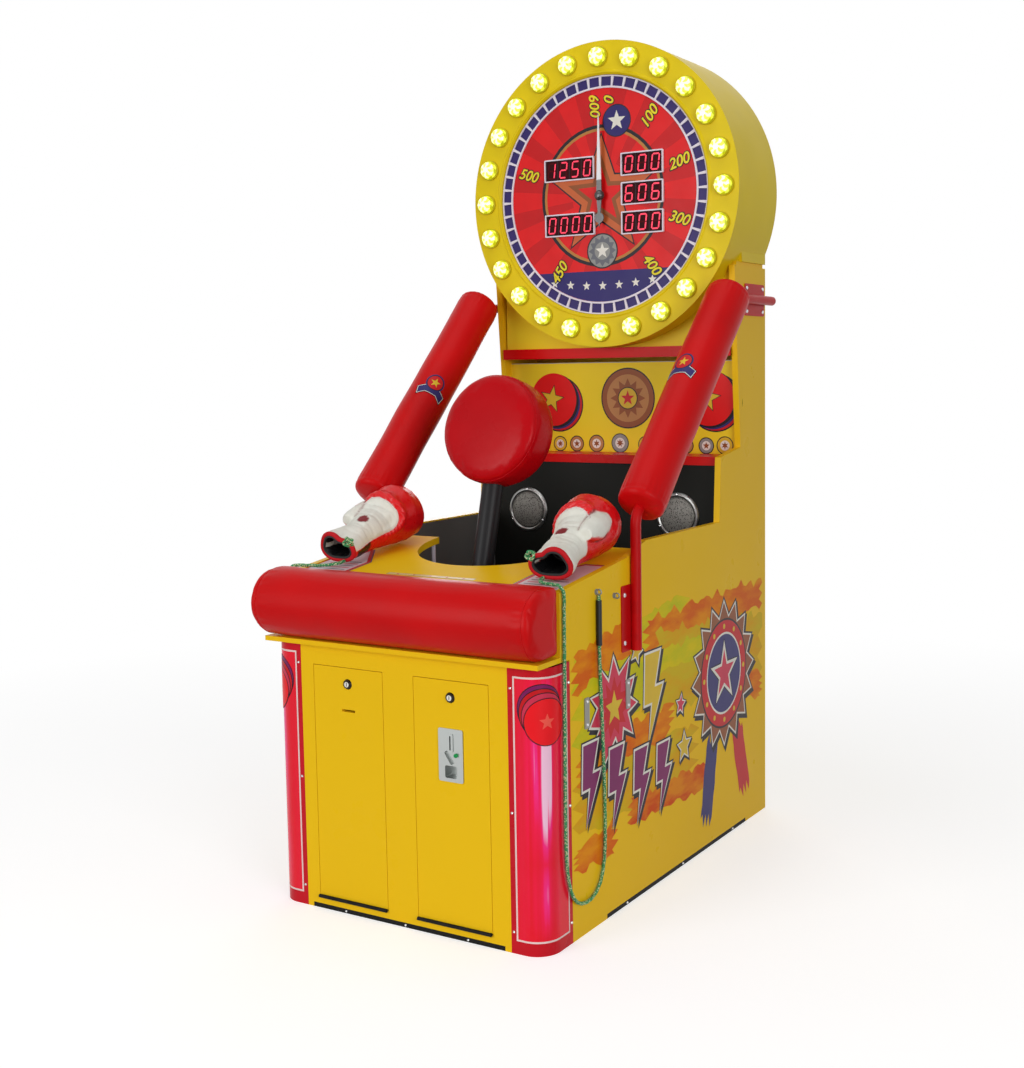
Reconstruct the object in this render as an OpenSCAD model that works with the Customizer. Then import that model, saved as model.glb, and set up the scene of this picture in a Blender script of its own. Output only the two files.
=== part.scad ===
// Boxing arcade machine: a padded target on a folding arm, a sloping counter and a round dial head.
// Millimetres. The machine faces -Y, +Z is up, and the origin is at the bottom centre of the whole.

/* [Cabinet] */
// Width over the side panels
body_w = 810; // [760:5:860]
// Depth from the front panel's face to the rear panel's face
body_d = 1290; // [1250:5:1340]
// Thickness of the side panels and the structural boards
panel_t = 18; // [16:1:22]
// Thickness of the front panel and the two front doors
front_t = 15; // [12:1:18]
// Height of the skid strips that the cabinet stands on
skid_h = 12; // [8:1:16]
// Radius of the curved front corners
corner_r = 60; // [50:1:75]
// Thickness of the curved corner panels
corner_t = 4; // [3:0.5:6]
// Width of the flat strip of a corner panel on the side
corner_flange = 58; // [45:1:65]
// Height of the underside of the bolster's ledge
ledge_z = 680; // [670:5:690]
// Height of the counter's panel edge at the front
counter_z = 847; // [842:1:860]
// Slope of the counter in degrees
counter_slope = 7; // [5:0.5:8]
// Depth from the front face to the counter's rear edge
counter_back = 505; // [490:5:520]
// Radius of the counter's round cut-out
cutout_r = 240; // [220:5:250]
// Depth from the front face to the centre of the cut-out
cutout_d = 485; // [475:5:490]
// Height of the side panels beside the well
waist_z = 916; // [908:2:930]
// Depth from the front face to the lower wing
wing_d = 957; // [945:1:970]
// Height of the shelf under the graphic panel
shelf_z = 1098; // [1085:1:1110]
// Depth from the front face to the column's front edge at its top
column_d = 1066; // [1055:1:1075]
// Height of the column without the dial head
column_z = 1640; // [1620:5:1660]

/* [Bolster] */
// How far the bolster stands out in front of the front panel
bolster_out = 75; // [65:1:85]
// Height of the bolster cushion
bolster_h = 174; // [160:1:185]
// How far the bolster stands out past the side panels
bolster_over = 8; // [0:1:12]
// Thickness of the two bolster boards
bolster_board_t = 12; // [9:1:15]

/* [Doors] */
// Width of a front door
door_w = 214; // [200:1:222]
// Height of a front door
door_h = 592; // [560:2:600]
// Gap round a door
door_gap = 1.5; // [1:0.25:2.5]
// Gap at a door's hinge edge
hinge_gap = 4; // [3.5:0.25:5]
// Centre of the left door from the middle
left_door_x = -160; // [-168:1:-155]
// Centre of the right door from the middle
right_door_x = 148; // [143:1:156]
// Width of the rear service door
rear_door_w = 396; // [360:2:420]
// Height of the rear service door
rear_door_h = 700; // [640:5:720]
// Height of the rear service door's bottom edge
rear_door_z = 160; // [150:5:180]
// Radius of a hinge knuckle
knuckle_r = 4.5; // [4:0.1:5]
// Radius of a hinge pin
hinge_pin_r = 2; // [1.5:0.1:2.5]

/* [Punch mechanism] */
// Depth from the front face to the arm's pivot
pivot_d = 342; // [335:1:350]
// Height of the arm's pivot
pivot_z = 760; // [755:1:770]
// Lean of the arm at rest in degrees
arm_lean = 15; // [12:0.5:18]
// Travel of the arm in degrees
arm_travel = 75; // [72:0.5:76]
// Distance from the pivot to the punch pad's centre
arm_reach = 445; // [430:1:455]
// Outer radius of the arm's tube
arm_r = 28; // [24:0.5:32]
// Wall of the arm's tube
arm_wall = 4; // [3:0.5:6]
// Radius of the punch pad
punch_r = 150; // [140:1:156]
// Depth of the punch pad from face to back
punch_depth = 130; // [120:1:140]
// Distance from the arm's axis to the punch pad's face
punch_face = 73; // [68:1:78]
// Radius of the pivot shaft
shaft_r = 12.5; // [10:0.5:15]
// Radial clearance of a shaft or pin in its bore
running_fit = 0.05; // [0.02:0.01:0.09]

/* [Dial head] */
// Outer radius of the dial head
drum_r = 442; // [430:1:450]
// Height of the dial's centre
dial_z = 1858; // [1850:1:1870]
// Depth from the front face to the dial head's front ring
ring_d = 1015; // [1005:1:1025]
// Wall of the drum housing
drum_wall = 12; // [9:1:15]
// Outer radius of the dial face
dial_r = 345; // [335:1:352]
// Number of lamps round the ring
lamp_count = 24; // [16:2:28]
// Radius of the circle of lamps
lamp_circle_r = 397; // [394:1:402]
// Radius of a lamp lens
lamp_r = 28; // [24:0.5:30]
// How far a lamp lens stands out of its holder
lamp_out = 22; // [16:1:28]
// Number of windows in the segment ring
segment_count = 52; // [40:2:60]
// Radial width of the segment ring
segment_w = 36; // [30:1:42]
// Length of the pointer from its axis to its tip
pointer_len = 235; // [210:1:250]
// Length of the pointer's tail
tail_len = 93; // [80:1:105]

/* [Guard bars] */
// Radius of the guard tube
tube_r = 13.5; // [12:0.5:14]
// Distance from the side panel to the guard tube's axis
tube_off = 14.5; // [14.5:0.5:16]
// Radius of the guard pad
pad_r = 65.5; // [60:0.5:70]
// Length of the guard pad
pad_len = 787; // [740:1:800]
// Depth from the front face to the upright part of the guard tube
tube_d = 425; // [418:1:432]
// Height of the guard tube's lower end
tube_low_z = 650; // [640:1:665]
// Height where the guard tube's upright and leaning lines meet
tube_knee_z = 985; // [980:1:995]
// Height of the guard tube's level part
tube_top_z = 1545; // [1535:1:1555]
// How far the guard tube's end stands out behind the rear panel
tube_tail = 15; // [12:1:20]
// Bend radius of the guard tube's centre line
bend_r = 60; // [50:1:70]

/* [Ropes] */
// Radius of a rope
rope_r = 4.5; // [4:0.25:5]

/* [Hidden] */
$fn = 64;

// The origin is the middle of the overall depth, so the front face lies at front_y
overall_d = bolster_out + body_d + tube_tail;
front_y = bolster_out - overall_d / 2;
half_w = body_w / 2;
inner_w = half_w - panel_t;
function depth(d) = front_y + d;

board_z = skid_h + panel_t;
skid_half = 290;
skid_side_d = [285, 1137];
corner_h = ledge_z - 4;
panel_front_d = corner_r + corner_flange;
corner_front = 37;
bolster_back_d = 76;
bolster_z = ledge_z + bolster_board_t;
backing_d = bolster_back_d + bolster_board_t;
counter_t = panel_t;
counter_drop = 3;
knee_d = tube_d - 15;
well_floor_z = 640;
well_back_d = 1000;
well_wall = 4;
speaker_t = 12;
speaker_x = 255;
speaker_z = 924;
speaker_r = 55;
shelf_depth = 120;
graphic_d = well_back_d + shelf_depth;
graphic_t = 10;
graphic_top = 1372;
strip_z = [1384, 1415];
header_gap = 8;
header_setback = 71;
header_d = ring_d + header_setback;
header_t = 12;
cap_t = 12;
head_z = column_z + cap_t;
neck_setback = 32;
neck_d = header_d + neck_setback;
ring_t = 4;
dial_d = ring_d + 11;
dial_t = 4;

function edge_z(d) = counter_z + (d - 106) * tan(counter_slope);
function counter_top_z(d) = edge_z(d) - counter_drop;

/* Helpers */

// Shapes drawn in a plane of depth and height, thickened along X and centred on x = 0
module along_x(width) {
    rotate([90, 0, 90])
        translate([0, 0, -width / 2])
            linear_extrude(width)
                children();
}

// A shape drawn in a plane of x and height, thickened backwards from a depth
module facing_front(d, thick) {
    translate([0, depth(d) + thick, 0])
        rotate([90, 0, 0])
            linear_extrude(thick)
                children();
}

// A part turned about an axis that runs backwards, drawn with its axis up and its front at z = 0
module axis_back(x, d, z) {
    translate([x, depth(d), z])
        rotate([-90, 0, 0])
            children();
}

module both_sides() {
    children();
    mirror([1, 0, 0]) children();
}

module rounded_rect(w, h, r) {
    square([w - 2 * r, h], center = true);
    square([w, h - 2 * r], center = true);
    for (sx = [-1, 1], sy = [-1, 1])
        translate([sx * (w / 2 - r), sy * (h / 2 - r)])
            circle(r);
}

// A closed skin through rings of points, each ring with as many points
module loft(rings) {
    n = len(rings[0]);
    m = len(rings);
    points = [for (ring = rings) each ring];
    first_cap = [for (i = [n - 1:-1:0]) i];
    last_cap = [for (i = [0:n - 1]) (m - 1) * n + i];
    walls = [for (j = [0:m - 2], i = [0:n - 1])
        each [[j * n + i, (j + 1) * n + (i + 1) % n, (j + 1) * n + i],
              [j * n + i, j * n + (i + 1) % n, (j + 1) * n + (i + 1) % n]]];
    polyhedron(points, concat([first_cap], walls, [last_cap]));
}

// A round tube swept along points, its rings carried along without twist
function unit(v) = v / norm(v);
function tangents(p) = [for (i = [0:len(p) - 1])
    unit(i == 0 ? p[1] - p[0] : i == len(p) - 1 ? p[i] - p[i - 1]
        : unit(p[i + 1] - p[i]) + unit(p[i] - p[i - 1]))];
function square_to(v, t) = unit(v - (v * t) * t);
function carried(t, u0) = [for (i = 0, u = square_to(u0, t[0]); i < len(t);
    i = i + 1, u = i < len(t) ? square_to(u, t[i]) : u) u];
module swept_tube(p, r, sides, u0 = [0.2, 0.1, 1]) {
    t = tangents(p);
    u = carried(t, u0);
    loft([for (i = [0:len(p) - 1])
        [for (k = [0:sides - 1])
            p[i] + r * (cos(360 * k / sides) * u[i] - sin(360 * k / sides) * cross(t[i], u[i]))]]);
}

/* Cabinet boards */

// The plan of the base: a board with rounded front corners that follow the corner panels
module base_plan() {
    fit = 0.5;
    inner_r = corner_r - corner_t - fit;
    arc_x = half_w - corner_r;
    translate([-inner_w, depth(panel_front_d)])
        square([2 * inner_w, body_d - panel_t - panel_front_d]);
    translate([-inner_w, depth(corner_r)])
        square([2 * inner_w, corner_flange + 1]);
    translate([-arc_x, depth(front_t)])
        square([2 * arc_x, corner_r - front_t + 1]);
    for (sx = [-1, 1])
        translate([sx * arc_x, depth(corner_r)])
            intersection() {
                circle(inner_r);
                translate([sx > 0 ? 0 : -inner_r, -inner_r])
                    square(inner_r);
            }
}

module base_board() {
    color("#3b3a38")
        translate([0, 0, skid_h])
            linear_extrude(panel_t)
                base_plan();
}

module skid_strips() {
    strip_w = 40;
    recess = 0.5;
    side_len = skid_side_d[1] - skid_side_d[0];
    color("#141414") {
        translate([-skid_half, depth(recess), 0])
            cube([2 * skid_half, strip_w, skid_h]);
        translate([-skid_half, depth(body_d - recess) - strip_w, 0])
            cube([2 * skid_half, strip_w, skid_h]);
        for (sx = [-1, 1])
            translate([sx > 0 ? half_w - recess - strip_w : -half_w + recess,
                       depth(skid_side_d[0]), 0])
                cube([strip_w, side_len, skid_h]);
    }
}

// The side outline from the foot up over the counter, the well and the wing to the column's top
function side_outline() = [
    [panel_front_d, 0], [skid_side_d[0] - 0.5, 0], [skid_side_d[0] - 0.5, skid_h],
    [skid_side_d[1] + 0.5, skid_h], [skid_side_d[1] + 0.5, 0], [body_d, 0], [body_d, column_z],
    [column_d, column_z], [column_d + 40, shelf_z + 22], [wing_d + 12, shelf_z],
    [wing_d, waist_z], [knee_d + 98, waist_z], [knee_d, edge_z(knee_d)],
    [backing_d, edge_z(backing_d)], [backing_d, ledge_z], [panel_front_d, ledge_z]
];

module side_panel() {
    color("#e2b21c")
        translate([half_w - panel_t / 2, front_y, 0])
            along_x(panel_t)
                polygon(side_outline());
}

module side_panel_right() { side_panel(); }
module side_panel_left() { mirror([1, 0, 0]) side_panel(); }

lock_drop = 40;
opening_low = board_z + 1;
door_z = opening_low + hinge_gap;
opening_high = door_z + door_h + door_gap;
lock_z = door_z + door_h - lock_drop;
lock_r = 9.5;

module door_opening(x) {
    translate([x - door_w / 2 - door_gap, opening_low])
        square([door_w + 2 * door_gap, opening_high - opening_low]);
}

module front_panel() {
    half = half_w - corner_r - corner_front;
    color("#e9c31e")
        facing_front(0, front_t)
            difference() {
                translate([-half, 0]) square([2 * half, ledge_z]);
                translate([-skid_half - 0.5, -1]) square([2 * skid_half + 1, skid_h + 1]);
                door_opening(left_door_x);
                door_opening(right_door_x);
            }
}

// The plan of a rounded corner out to a radius, with its flat strips on the front and the side
module corner_plan(r, front_len, side_len) {
    intersection() {
        circle(r);
        translate([0, -r]) square(r);
    }
    translate([-front_len, -r]) square([front_len, r]);
    square([r, side_len]);
}

// A quarter-round skin with a short flat strip on the front and a wider one on the side
module corner_panel() {
    color("#cf1c26")
        translate([half_w - corner_r, depth(corner_r), 0])
            linear_extrude(corner_h)
                difference() {
                    corner_plan(corner_r, corner_front, corner_flange);
                    corner_plan(corner_r - corner_t, corner_front + 1, corner_flange + 1);
                    translate([-corner_front - 1, -corner_r + corner_t])
                        square([corner_front + 1, corner_r + corner_flange]);
                }
}

module corner_panel_right() { corner_panel(); }
module corner_panel_left() { mirror([1, 0, 0]) corner_panel(); }

/* Front bolster */

module bolster_boards() {
    ledge_out = 22;
    color("#e9b41e") {
        translate([-half_w, depth(-ledge_out), ledge_z])
            cube([body_w, ledge_out + backing_d, bolster_board_t]);
        translate([-half_w, depth(bolster_back_d), bolster_z])
            cube([body_w, bolster_board_t, edge_z(bolster_back_d) - bolster_z]);
    }
}

// Points of the bolster's section from the bottom round the front to the back, shrunk by an inset:
// a round front, a crowned top and a flat back that leans on its board
bolster_crown = 2.5;
function bolster_section(inset, steps = 12) =
    let (r = bolster_h / 2, mid = r - bolster_out, back = bolster_back_d - 0.5 - inset, edge = 7)
    concat(
        [for (i = [0:steps]) let (a = -90 - 180 * i / steps)
            [mid + (r - inset) * cos(a), r + (r - inset) * sin(a)]],
        [for (i = [1:3])
            [mid + (back - edge - mid) * i / 3,
             bolster_h - inset + bolster_crown * (i == 1 ? 0.8 : i == 2 ? 1 : 0)]],
        [[back, bolster_h - inset - edge], [back, inset + edge], [back - edge, inset]]);

// The cushion is drawn in at its sewn ends and swells to its full section between them
module bolster_pad() {
    stations = [[0, 12], [1.5, 7], [5, 3.6], [11, 1.8], [26, 0.9], [130, 0.3]];
    half_len = half_w + bolster_over;
    places = concat(
        [for (s = stations) [-half_len + s[0], s[1]]],
        [[0, 0]],
        [for (i = [len(stations) - 1:-1:0]) [half_len - stations[i][0], stations[i][1]]]);
    color("#b3151f")
        loft([for (p = places)
            [for (q = bolster_section(p[1])) [p[0], depth(q[0]), bolster_z + q[1]]]]);
}

/* Counter and well */

module counter_top() {
    color("#dfae22")
        difference() {
            translate([0, front_y, 0])
                along_x(2 * inner_w)
                    polygon([
                        [backing_d, counter_top_z(backing_d) - counter_t],
                        [backing_d, counter_top_z(backing_d)],
                        [counter_back, counter_top_z(counter_back)],
                        [counter_back, counter_top_z(counter_back) - counter_t]]);
            translate([0, depth(cutout_d), counter_z - 60])
                cylinder(r = cutout_r, h = 200, $fn = 128);
        }
}

post_r = 6;
post_x = cutout_r + post_r + 6;
post_d = counter_back - post_r - 4;
module counter_posts() {
    color("#e8e4d6")
        both_sides()
            difference() {
                translate([post_x, depth(post_d), well_floor_z])
                    cylinder(r = post_r, h = counter_z - well_floor_z + 40);
                translate([post_x, front_y, 0])
                    along_x(4 * post_r)
                        polygon([
                            [post_d - 30, counter_top_z(post_d - 30) - counter_t],
                            [post_d - 30, counter_z + 200], [post_d + 30, counter_z + 200],
                            [post_d + 30, counter_top_z(post_d + 30) - counter_t]]);
            }
}

// A black tub: floor board, front wall and two side cheeks up to the counter and the waist
module well_liner() {
    back = well_back_d;
    cheek_top = waist_z - 4;
    step_d = counter_back + 0.5;
    color("#1b1b1c") {
        translate([-inner_w, depth(backing_d), well_floor_z - panel_t])
            cube([2 * inner_w, back - backing_d, panel_t]);
        translate([-inner_w, depth(backing_d), well_floor_z - 1])
            cube([2 * inner_w, well_wall, counter_top_z(backing_d) - counter_t - well_floor_z + 1]);
        both_sides()
            translate([inner_w - well_wall / 2, front_y, 0])
                along_x(well_wall)
                    polygon([
                        [backing_d + 1, well_floor_z - 1],
                        [backing_d + 1, counter_top_z(backing_d + 1) - counter_t],
                        [step_d, counter_top_z(step_d) - counter_t],
                        [step_d, cheek_top], [back, cheek_top], [back, well_floor_z - 1]]);
    }
}

module speaker_panel() {
    color("#161617")
        facing_front(well_back_d, speaker_t)
            difference() {
                translate([-inner_w, well_floor_z - panel_t])
                    square([2 * inner_w, shelf_z - 4 - well_floor_z + panel_t]);
                for (sx = [-1, 1])
                    translate([sx * speaker_x, speaker_z]) circle(speaker_r);
            }
}

grille_r = 68;
// A domed grille of rings and spokes inside a bezel, with the driver's cone and magnet behind
module speaker_grille() {
    rings = 5;
    spokes = 8;
    bar = 2.4;
    color("#b9bbbd") {
        rotate_extrude()
            polygon([[grille_r - 12, 0], [grille_r, 0], [grille_r, 3], [grille_r - 3, 7],
                     [grille_r - 8, 8], [grille_r - 12, 5]]);
        for (i = [1:rings])
            let (r = (grille_r - 12) * i / (rings + 0.5))
                rotate_extrude()
                    translate([r - bar / 2, 3]) square([bar, 3]);
        for (i = [0:spokes / 2 - 1])
            rotate([0, 0, 360 * i / spokes])
                translate([-grille_r + 9, -bar / 2, 2])
                    cube([2 * grille_r - 18, bar, 2.5]);
        translate([0, 0, 1.5]) cylinder(r = 8, h = 6.5);
    }
}

module speaker_driver() {
    fit = 0.5;
    color("#2a2a2b")
        rotate_extrude()
            polygon([[0, 4], [16, 4], [speaker_r - fit, 0.2], [speaker_r - fit, 8], [30, 42],
                     [30, 62], [0, 62]]);
}

module speakers() {
    for (sx = [-1, 1])
        translate([sx * speaker_x, depth(well_back_d), speaker_z]) {
            rotate([90, 0, 0]) speaker_grille();
            rotate([-90, 0, 0]) speaker_driver();
        }
}

/* Back box and column */

module graphic_panel() {
    color("#e3c92c")
        facing_front(graphic_d, graphic_t)
            translate([-inner_w, shelf_z])
                square([2 * inner_w, graphic_top - shelf_z]);
}

// Angle strips: the upper one under the header, the lower one with the shelf as its level leg
module trim_strips() {
    strip_t = 4;
    shelf_front = well_back_d - 6;
    color("#b5141c") {
        translate([0, front_y, 0])
            along_x(2 * inner_w)
                polygon([
                    [header_d - 12, strip_z[0]], [header_d - 12 + strip_t, strip_z[0]],
                    [header_d - 12 + strip_t, strip_z[1] - strip_t],
                    [header_d + header_t, strip_z[1] - strip_t], [header_d + header_t, strip_z[1]],
                    [header_d - 12, strip_z[1]]]);
        translate([0, front_y, 0])
            along_x(2 * inner_w)
                polygon([
                    [shelf_front, shelf_z - 25], [shelf_front + strip_t, shelf_z - 25],
                    [shelf_front + strip_t, shelf_z - strip_t],
                    [graphic_d + graphic_t, shelf_z - strip_t], [graphic_d + graphic_t, shelf_z],
                    [shelf_front, shelf_z]]);
    }
}

module header_panel() {
    half = inner_w - header_gap;
    color("#dfae22")
        facing_front(header_d, header_t)
            translate([-half, strip_z[1]])
                square([2 * half, column_z - strip_z[1]]);
}

module column_top() {
    inset = 6;
    front = header_d + inset;
    color("#d9a71f")
        translate([-half_w + inset, depth(front), column_z])
            cube([body_w - 2 * inset, body_d - inset - front, cap_t]);
}

inlet_x = -250;
inlet_z = 90;
inlet_w = 50;
inlet_h = 60;
lock_rear_x = -rear_door_w / 2 + lock_drop;
rear_lock_z = rear_door_z + rear_door_h / 2;
module rear_panel() {
    color("#d9a71f")
        facing_front(body_d - panel_t, panel_t)
            difference() {
                translate([-inner_w, skid_h]) square([2 * inner_w, column_z - skid_h]);
                translate([-rear_door_w / 2 - door_gap, rear_door_z - door_gap])
                    square([rear_door_w + door_gap + hinge_gap, rear_door_h + 2 * door_gap]);
                translate([inlet_x - inlet_w / 2, inlet_z - inlet_h / 2])
                    square([inlet_w, inlet_h]);
            }
}

/* Dial head */

// Outline of the head behind the ring: the drum's arc down to the flat of its base
module head_outline(r, low) {
    intersection() {
        translate([0, dial_z]) circle(r, $fn = 160);
        translate([-drum_r - 1, low]) square([2 * drum_r + 2, dial_z + drum_r + 1 - low]);
    }
}

module neck_outline(half, low) {
    translate([-half, low]) square([2 * half, dial_z - drum_r * 0.35 - low]);
}

module drum_housing() {
    front = ring_d + ring_t;
    inner_r = drum_r - drum_wall;
    color("#e0bb22")
        difference() {
            union() {
                facing_front(header_d - 0.01, body_d - header_d + 0.01)
                    head_outline(drum_r, head_z);
                facing_front(neck_d, body_d - neck_d)
                    neck_outline(half_w, head_z);
                facing_front(front, header_d - front)
                    translate([0, dial_z]) circle(drum_r, $fn = 160);
            }
            facing_front(header_d - 1, body_d - header_d - drum_wall + 1)
                head_outline(inner_r, head_z + drum_wall);
            facing_front(neck_d + drum_wall, body_d - neck_d - 2 * drum_wall)
                neck_outline(half_w - drum_wall, head_z + drum_wall);
            facing_front(front - 1, header_d - front + 2)
                translate([0, dial_z]) circle(inner_r, $fn = 160);
        }
}

// Front ring: a flat flange with a rolled inner lip, a bead and one hole for each lamp
lip_r = dial_r + 1;
socket_r = 20;
module bulb_ring() {
    color("#e6c324")
        difference() {
            axis_back(0, ring_d, dial_z)
                rotate_extrude($fn = 160)
                    polygon([[lip_r, 2], [lip_r + 5, -3], [lip_r + 9, -3], [lip_r + 13, 0],
                             [drum_r, 0], [drum_r, ring_t], [lip_r + ring_t, ring_t],
                             [lip_r + ring_t, dial_d + dial_t - ring_d], [lip_r, dial_d + dial_t - ring_d]]);
            lamps() cylinder(r = socket_r, h = 40, center = true);
        }
}

// The lamps stand on a circle, the first one at the top, with their axes to the front
module lamps() {
    for (i = [0:lamp_count - 1])
        translate([lamp_circle_r * sin(360 * i / lamp_count), depth(ring_d),
                   dial_z + lamp_circle_r * cos(360 * i / lamp_count)])
            rotate([90, 0, 0])
                children();
}

holder_h = 7;
module bulb_holders() {
    fit = 0.4;
    color("#c9a51d")
        lamps()
            rotate_extrude($fn = 32)
                polygon([[0, -30], [socket_r - fit, -30], [socket_r - fit, 0], [lamp_r + 2, 0],
                         [lamp_r + 2, holder_h - 2], [lamp_r, holder_h], [0, holder_h]]);
}

module bulb_lenses() {
    color("#f3f06a")
        lamps()
            translate([0, 0, holder_h])
                rotate_extrude($fn = 32)
                    polygon(concat([[0, 0], [lamp_r - 1, 0]],
                        [for (i = [0:5]) let (a = i * 16)
                            [(lamp_r - 1) * cos(a), 3 + (lamp_out - 3) * sin(a)]],
                        [[0, lamp_out]]));
}

pointer_shaft_r = 4;
module dial_face() {
    color("#d8161f")
        facing_front(dial_d, dial_t)
            translate([0, dial_z])
                difference() {
                    circle(dial_r, $fn = 160);
                    circle(pointer_shaft_r + 3);
                }
}

module segment_ring() {
    t = 4;
    bar = 5;
    low = dial_r - segment_w;
    window_w = 2 * PI * (low + bar) / segment_count - bar;
    color("#f2f0f4")
        facing_front(dial_d - t, t)
            translate([0, dial_z])
                difference() {
                    circle(dial_r, $fn = 160);
                    circle(low, $fn = 160);
                    for (i = [0:segment_count - 1])
                        rotate(360 * (i + 0.5) / segment_count)
                            translate([low + bar, -window_w / 2])
                                square([segment_w - 2 * bar + 1, window_w]);
                }
}

// Number displays: x and height of the middle above the dial's centre, and the width
displays = [[-107, 84, 170], [-107, -78, 170], [136, 84, 137], [136, 0, 137], [136, -84, 137]];
display_h = 66;
module score_displays() {
    bezel = 3.5;
    deep = 8;
    color("#f4f2f0")
        for (s = displays)
            difference() {
                facing_front(dial_d - deep, deep)
                    translate([s[0], dial_z + s[1]])
                        rounded_rect(s[2], display_h, 3);
                facing_front(dial_d - deep - 1, 5)
                    translate([s[0], dial_z + s[1]])
                        square([s[2] - 2 * bezel, display_h - 2 * bezel], center = true);
            }
}

module pointer_motor() {
    back = dial_d + dial_t;
    color("#8b8d90")
        difference() {
            axis_back(0, back, dial_z)
                rotate_extrude()
                    polygon([[0, 0], [46, 0], [46, 3], [30, 3], [30, 48], [26, 52], [0, 52]]);
            axis_back(0, back, dial_z)
                translate([0, 0, -1]) cylinder(r = pointer_shaft_r + running_fit, h = 36);
        }
}

// A tapered blade with a round tail on a domed hub, on its motor shaft
pointer_d = ring_d - 7;
module pointer() {
    hub_r = 15;
    blade_t = 3;
    color("#c8cacc") {
        facing_front(pointer_d, blade_t)
            translate([0, dial_z]) {
                polygon([[-9, 0], [-2.2, pointer_len * 0.9], [0, pointer_len],
                         [2.2, pointer_len * 0.9], [9, 0], [4.5, -tail_len * 0.55], [-4.5, -tail_len * 0.55]]);
                translate([0, -tail_len * 0.7]) circle(tail_len * 0.16);
                polygon([[-5, -tail_len * 0.75], [5, -tail_len * 0.75], [0, -tail_len]]);
            }
        axis_back(0, pointer_d, dial_z)
            rotate_extrude()
                polygon([[0, -11], [7, -10], [12, -6], [hub_r, 0], [hub_r, blade_t + 3], [0, blade_t + 3]]);
        axis_back(0, pointer_d + 1, dial_z)
            cylinder(r = pointer_shaft_r, h = dial_d + dial_t + 30 - pointer_d);
    }
}

/* Guard bars */

tube_x = half_w + tube_off;
lean = 45;
tangent_len = bend_r * tan(lean / 2);
knee_p = [tube_d, tube_knee_z];
top_corner_d = tube_d + (tube_top_z - tube_knee_z) / tan(lean);
lean_len = (tube_top_z - tube_knee_z) / sin(lean);
upper_plate = [1135, 1275];
pad_start = 26;

// A straight piece of tube in the plane of the bar, from a point along a direction
module bar_run(d, z, angle, run, r) {
    translate([tube_x, depth(d), z])
        rotate([angle - 90, 0, 0])
            cylinder(r = r, h = run);
}

// A bend of the tube about a centre, starting at an angle, in the plane of the bar
module bar_bend(d, z, from, r) {
    translate([tube_x, depth(d), z])
        rotate([90, 0, 90])
            rotate([0, 0, from])
                rotate_extrude(angle = lean, $fn = 96)
                    translate([bend_r, 0]) circle(r, $fn = 32);
}

module bar_line(r) {
    up_end = tube_knee_z - tangent_len;
    bar_run(tube_d, tube_low_z, 90, up_end - tube_low_z, r);
    bar_bend(tube_d + bend_r, up_end, 180 - lean, r);
    bar_run(tube_d + tangent_len * cos(lean), tube_knee_z + tangent_len * sin(lean), lean,
            lean_len - 2 * tangent_len, r);
    bar_bend(top_corner_d + tangent_len, tube_top_z - bend_r, 90, r);
    bar_run(top_corner_d + tangent_len, tube_top_z, 0,
            body_d + tube_tail - top_corner_d - tangent_len, r);
}

plate_t = 3;
plate_bolts_low = [[386, 672], [386, 792]];
plate_bolts_high = [[1147, 1512], [1147, 1578], [1263, 1512], [1263, 1578]];
module guard_bar() {
    color("#b3141c") {
        bar_line(tube_r);
        translate([half_w + plate_t / 2, front_y, 0])
            along_x(plate_t) {
                translate([tube_d - 9, tube_low_z + 83]) rounded_rect(92, 166, 5);
                translate([(upper_plate[0] + upper_plate[1]) / 2, tube_top_z])
                    rounded_rect(upper_plate[1] - upper_plate[0], 92, 6);
            }
    }
}

module guard_bar_right() { guard_bar(); }
module guard_bar_left() { mirror([1, 0, 0]) guard_bar(); }

// A foam sleeve with rounded ends, pushed over the leaning part of the tube
module guard_pad() {
    e = 14;
    hollow_wall = 21.5;
    hollow_start = lean_len - tangent_len - 6;
    hollow_run = pad_start + pad_len - hollow_start + 1;
    color("#c01a22")
        difference() {
            translate([tube_x, depth(tube_d + pad_start * cos(lean)), tube_knee_z + pad_start * sin(lean)])
                rotate([lean - 90, 0, 0])
                    rotate_extrude($fn = 72)
                        polygon(concat([[0, 0]],
                            [for (i = [0:3]) [pad_r - e + e * sin(i * 30), e - e * cos(i * 30)]],
                            [for (i = [0:3]) [pad_r - e + e * cos(i * 30), pad_len - e + e * sin(i * 30)]],
                            [[0, pad_len]]));
            bar_run(tube_d, tube_knee_z, lean, lean_len, tube_r);
            bar_run(tube_d + hollow_start * cos(lean), tube_knee_z + hollow_start * sin(lean), lean,
                    hollow_run, pad_r - hollow_wall);
        }
}

module guard_pad_right() { guard_pad(); }
module guard_pad_left() { mirror([1, 0, 0]) guard_pad(); }

/* Punch mechanism */

// Places a shape drawn round the pivot, turned with the arm at rest
module at_pivot() {
    translate([0, depth(pivot_d), pivot_z]) children();
}

module at_arm() {
    at_pivot() rotate([-arm_lean, 0, 0]) children();
}

cheek_x = 66;
cheek_t = 8;
floor_drop = pivot_z - well_floor_z;
base_t = 6;
latch_r = 63.6;
latch_a = -45;
latch_y = latch_r * cos(latch_a);
latch_z = latch_r * sin(latch_a);
bolt_r = 5;
sector_x = [40, 48];
sensor_slot = 2;
stop_l = 55;
stop_len = 18;
stop_gap = 0.3;
rear_stop_y = 218;
rear_bumper_h = 24;

module cheek_outline() {
    low = -floor_drop + base_t;
    polygon([[-60, low], [84, low], [84, -30], [46, 34], [14, 52], [-36, 52], [-60, 20]]);
}

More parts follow.
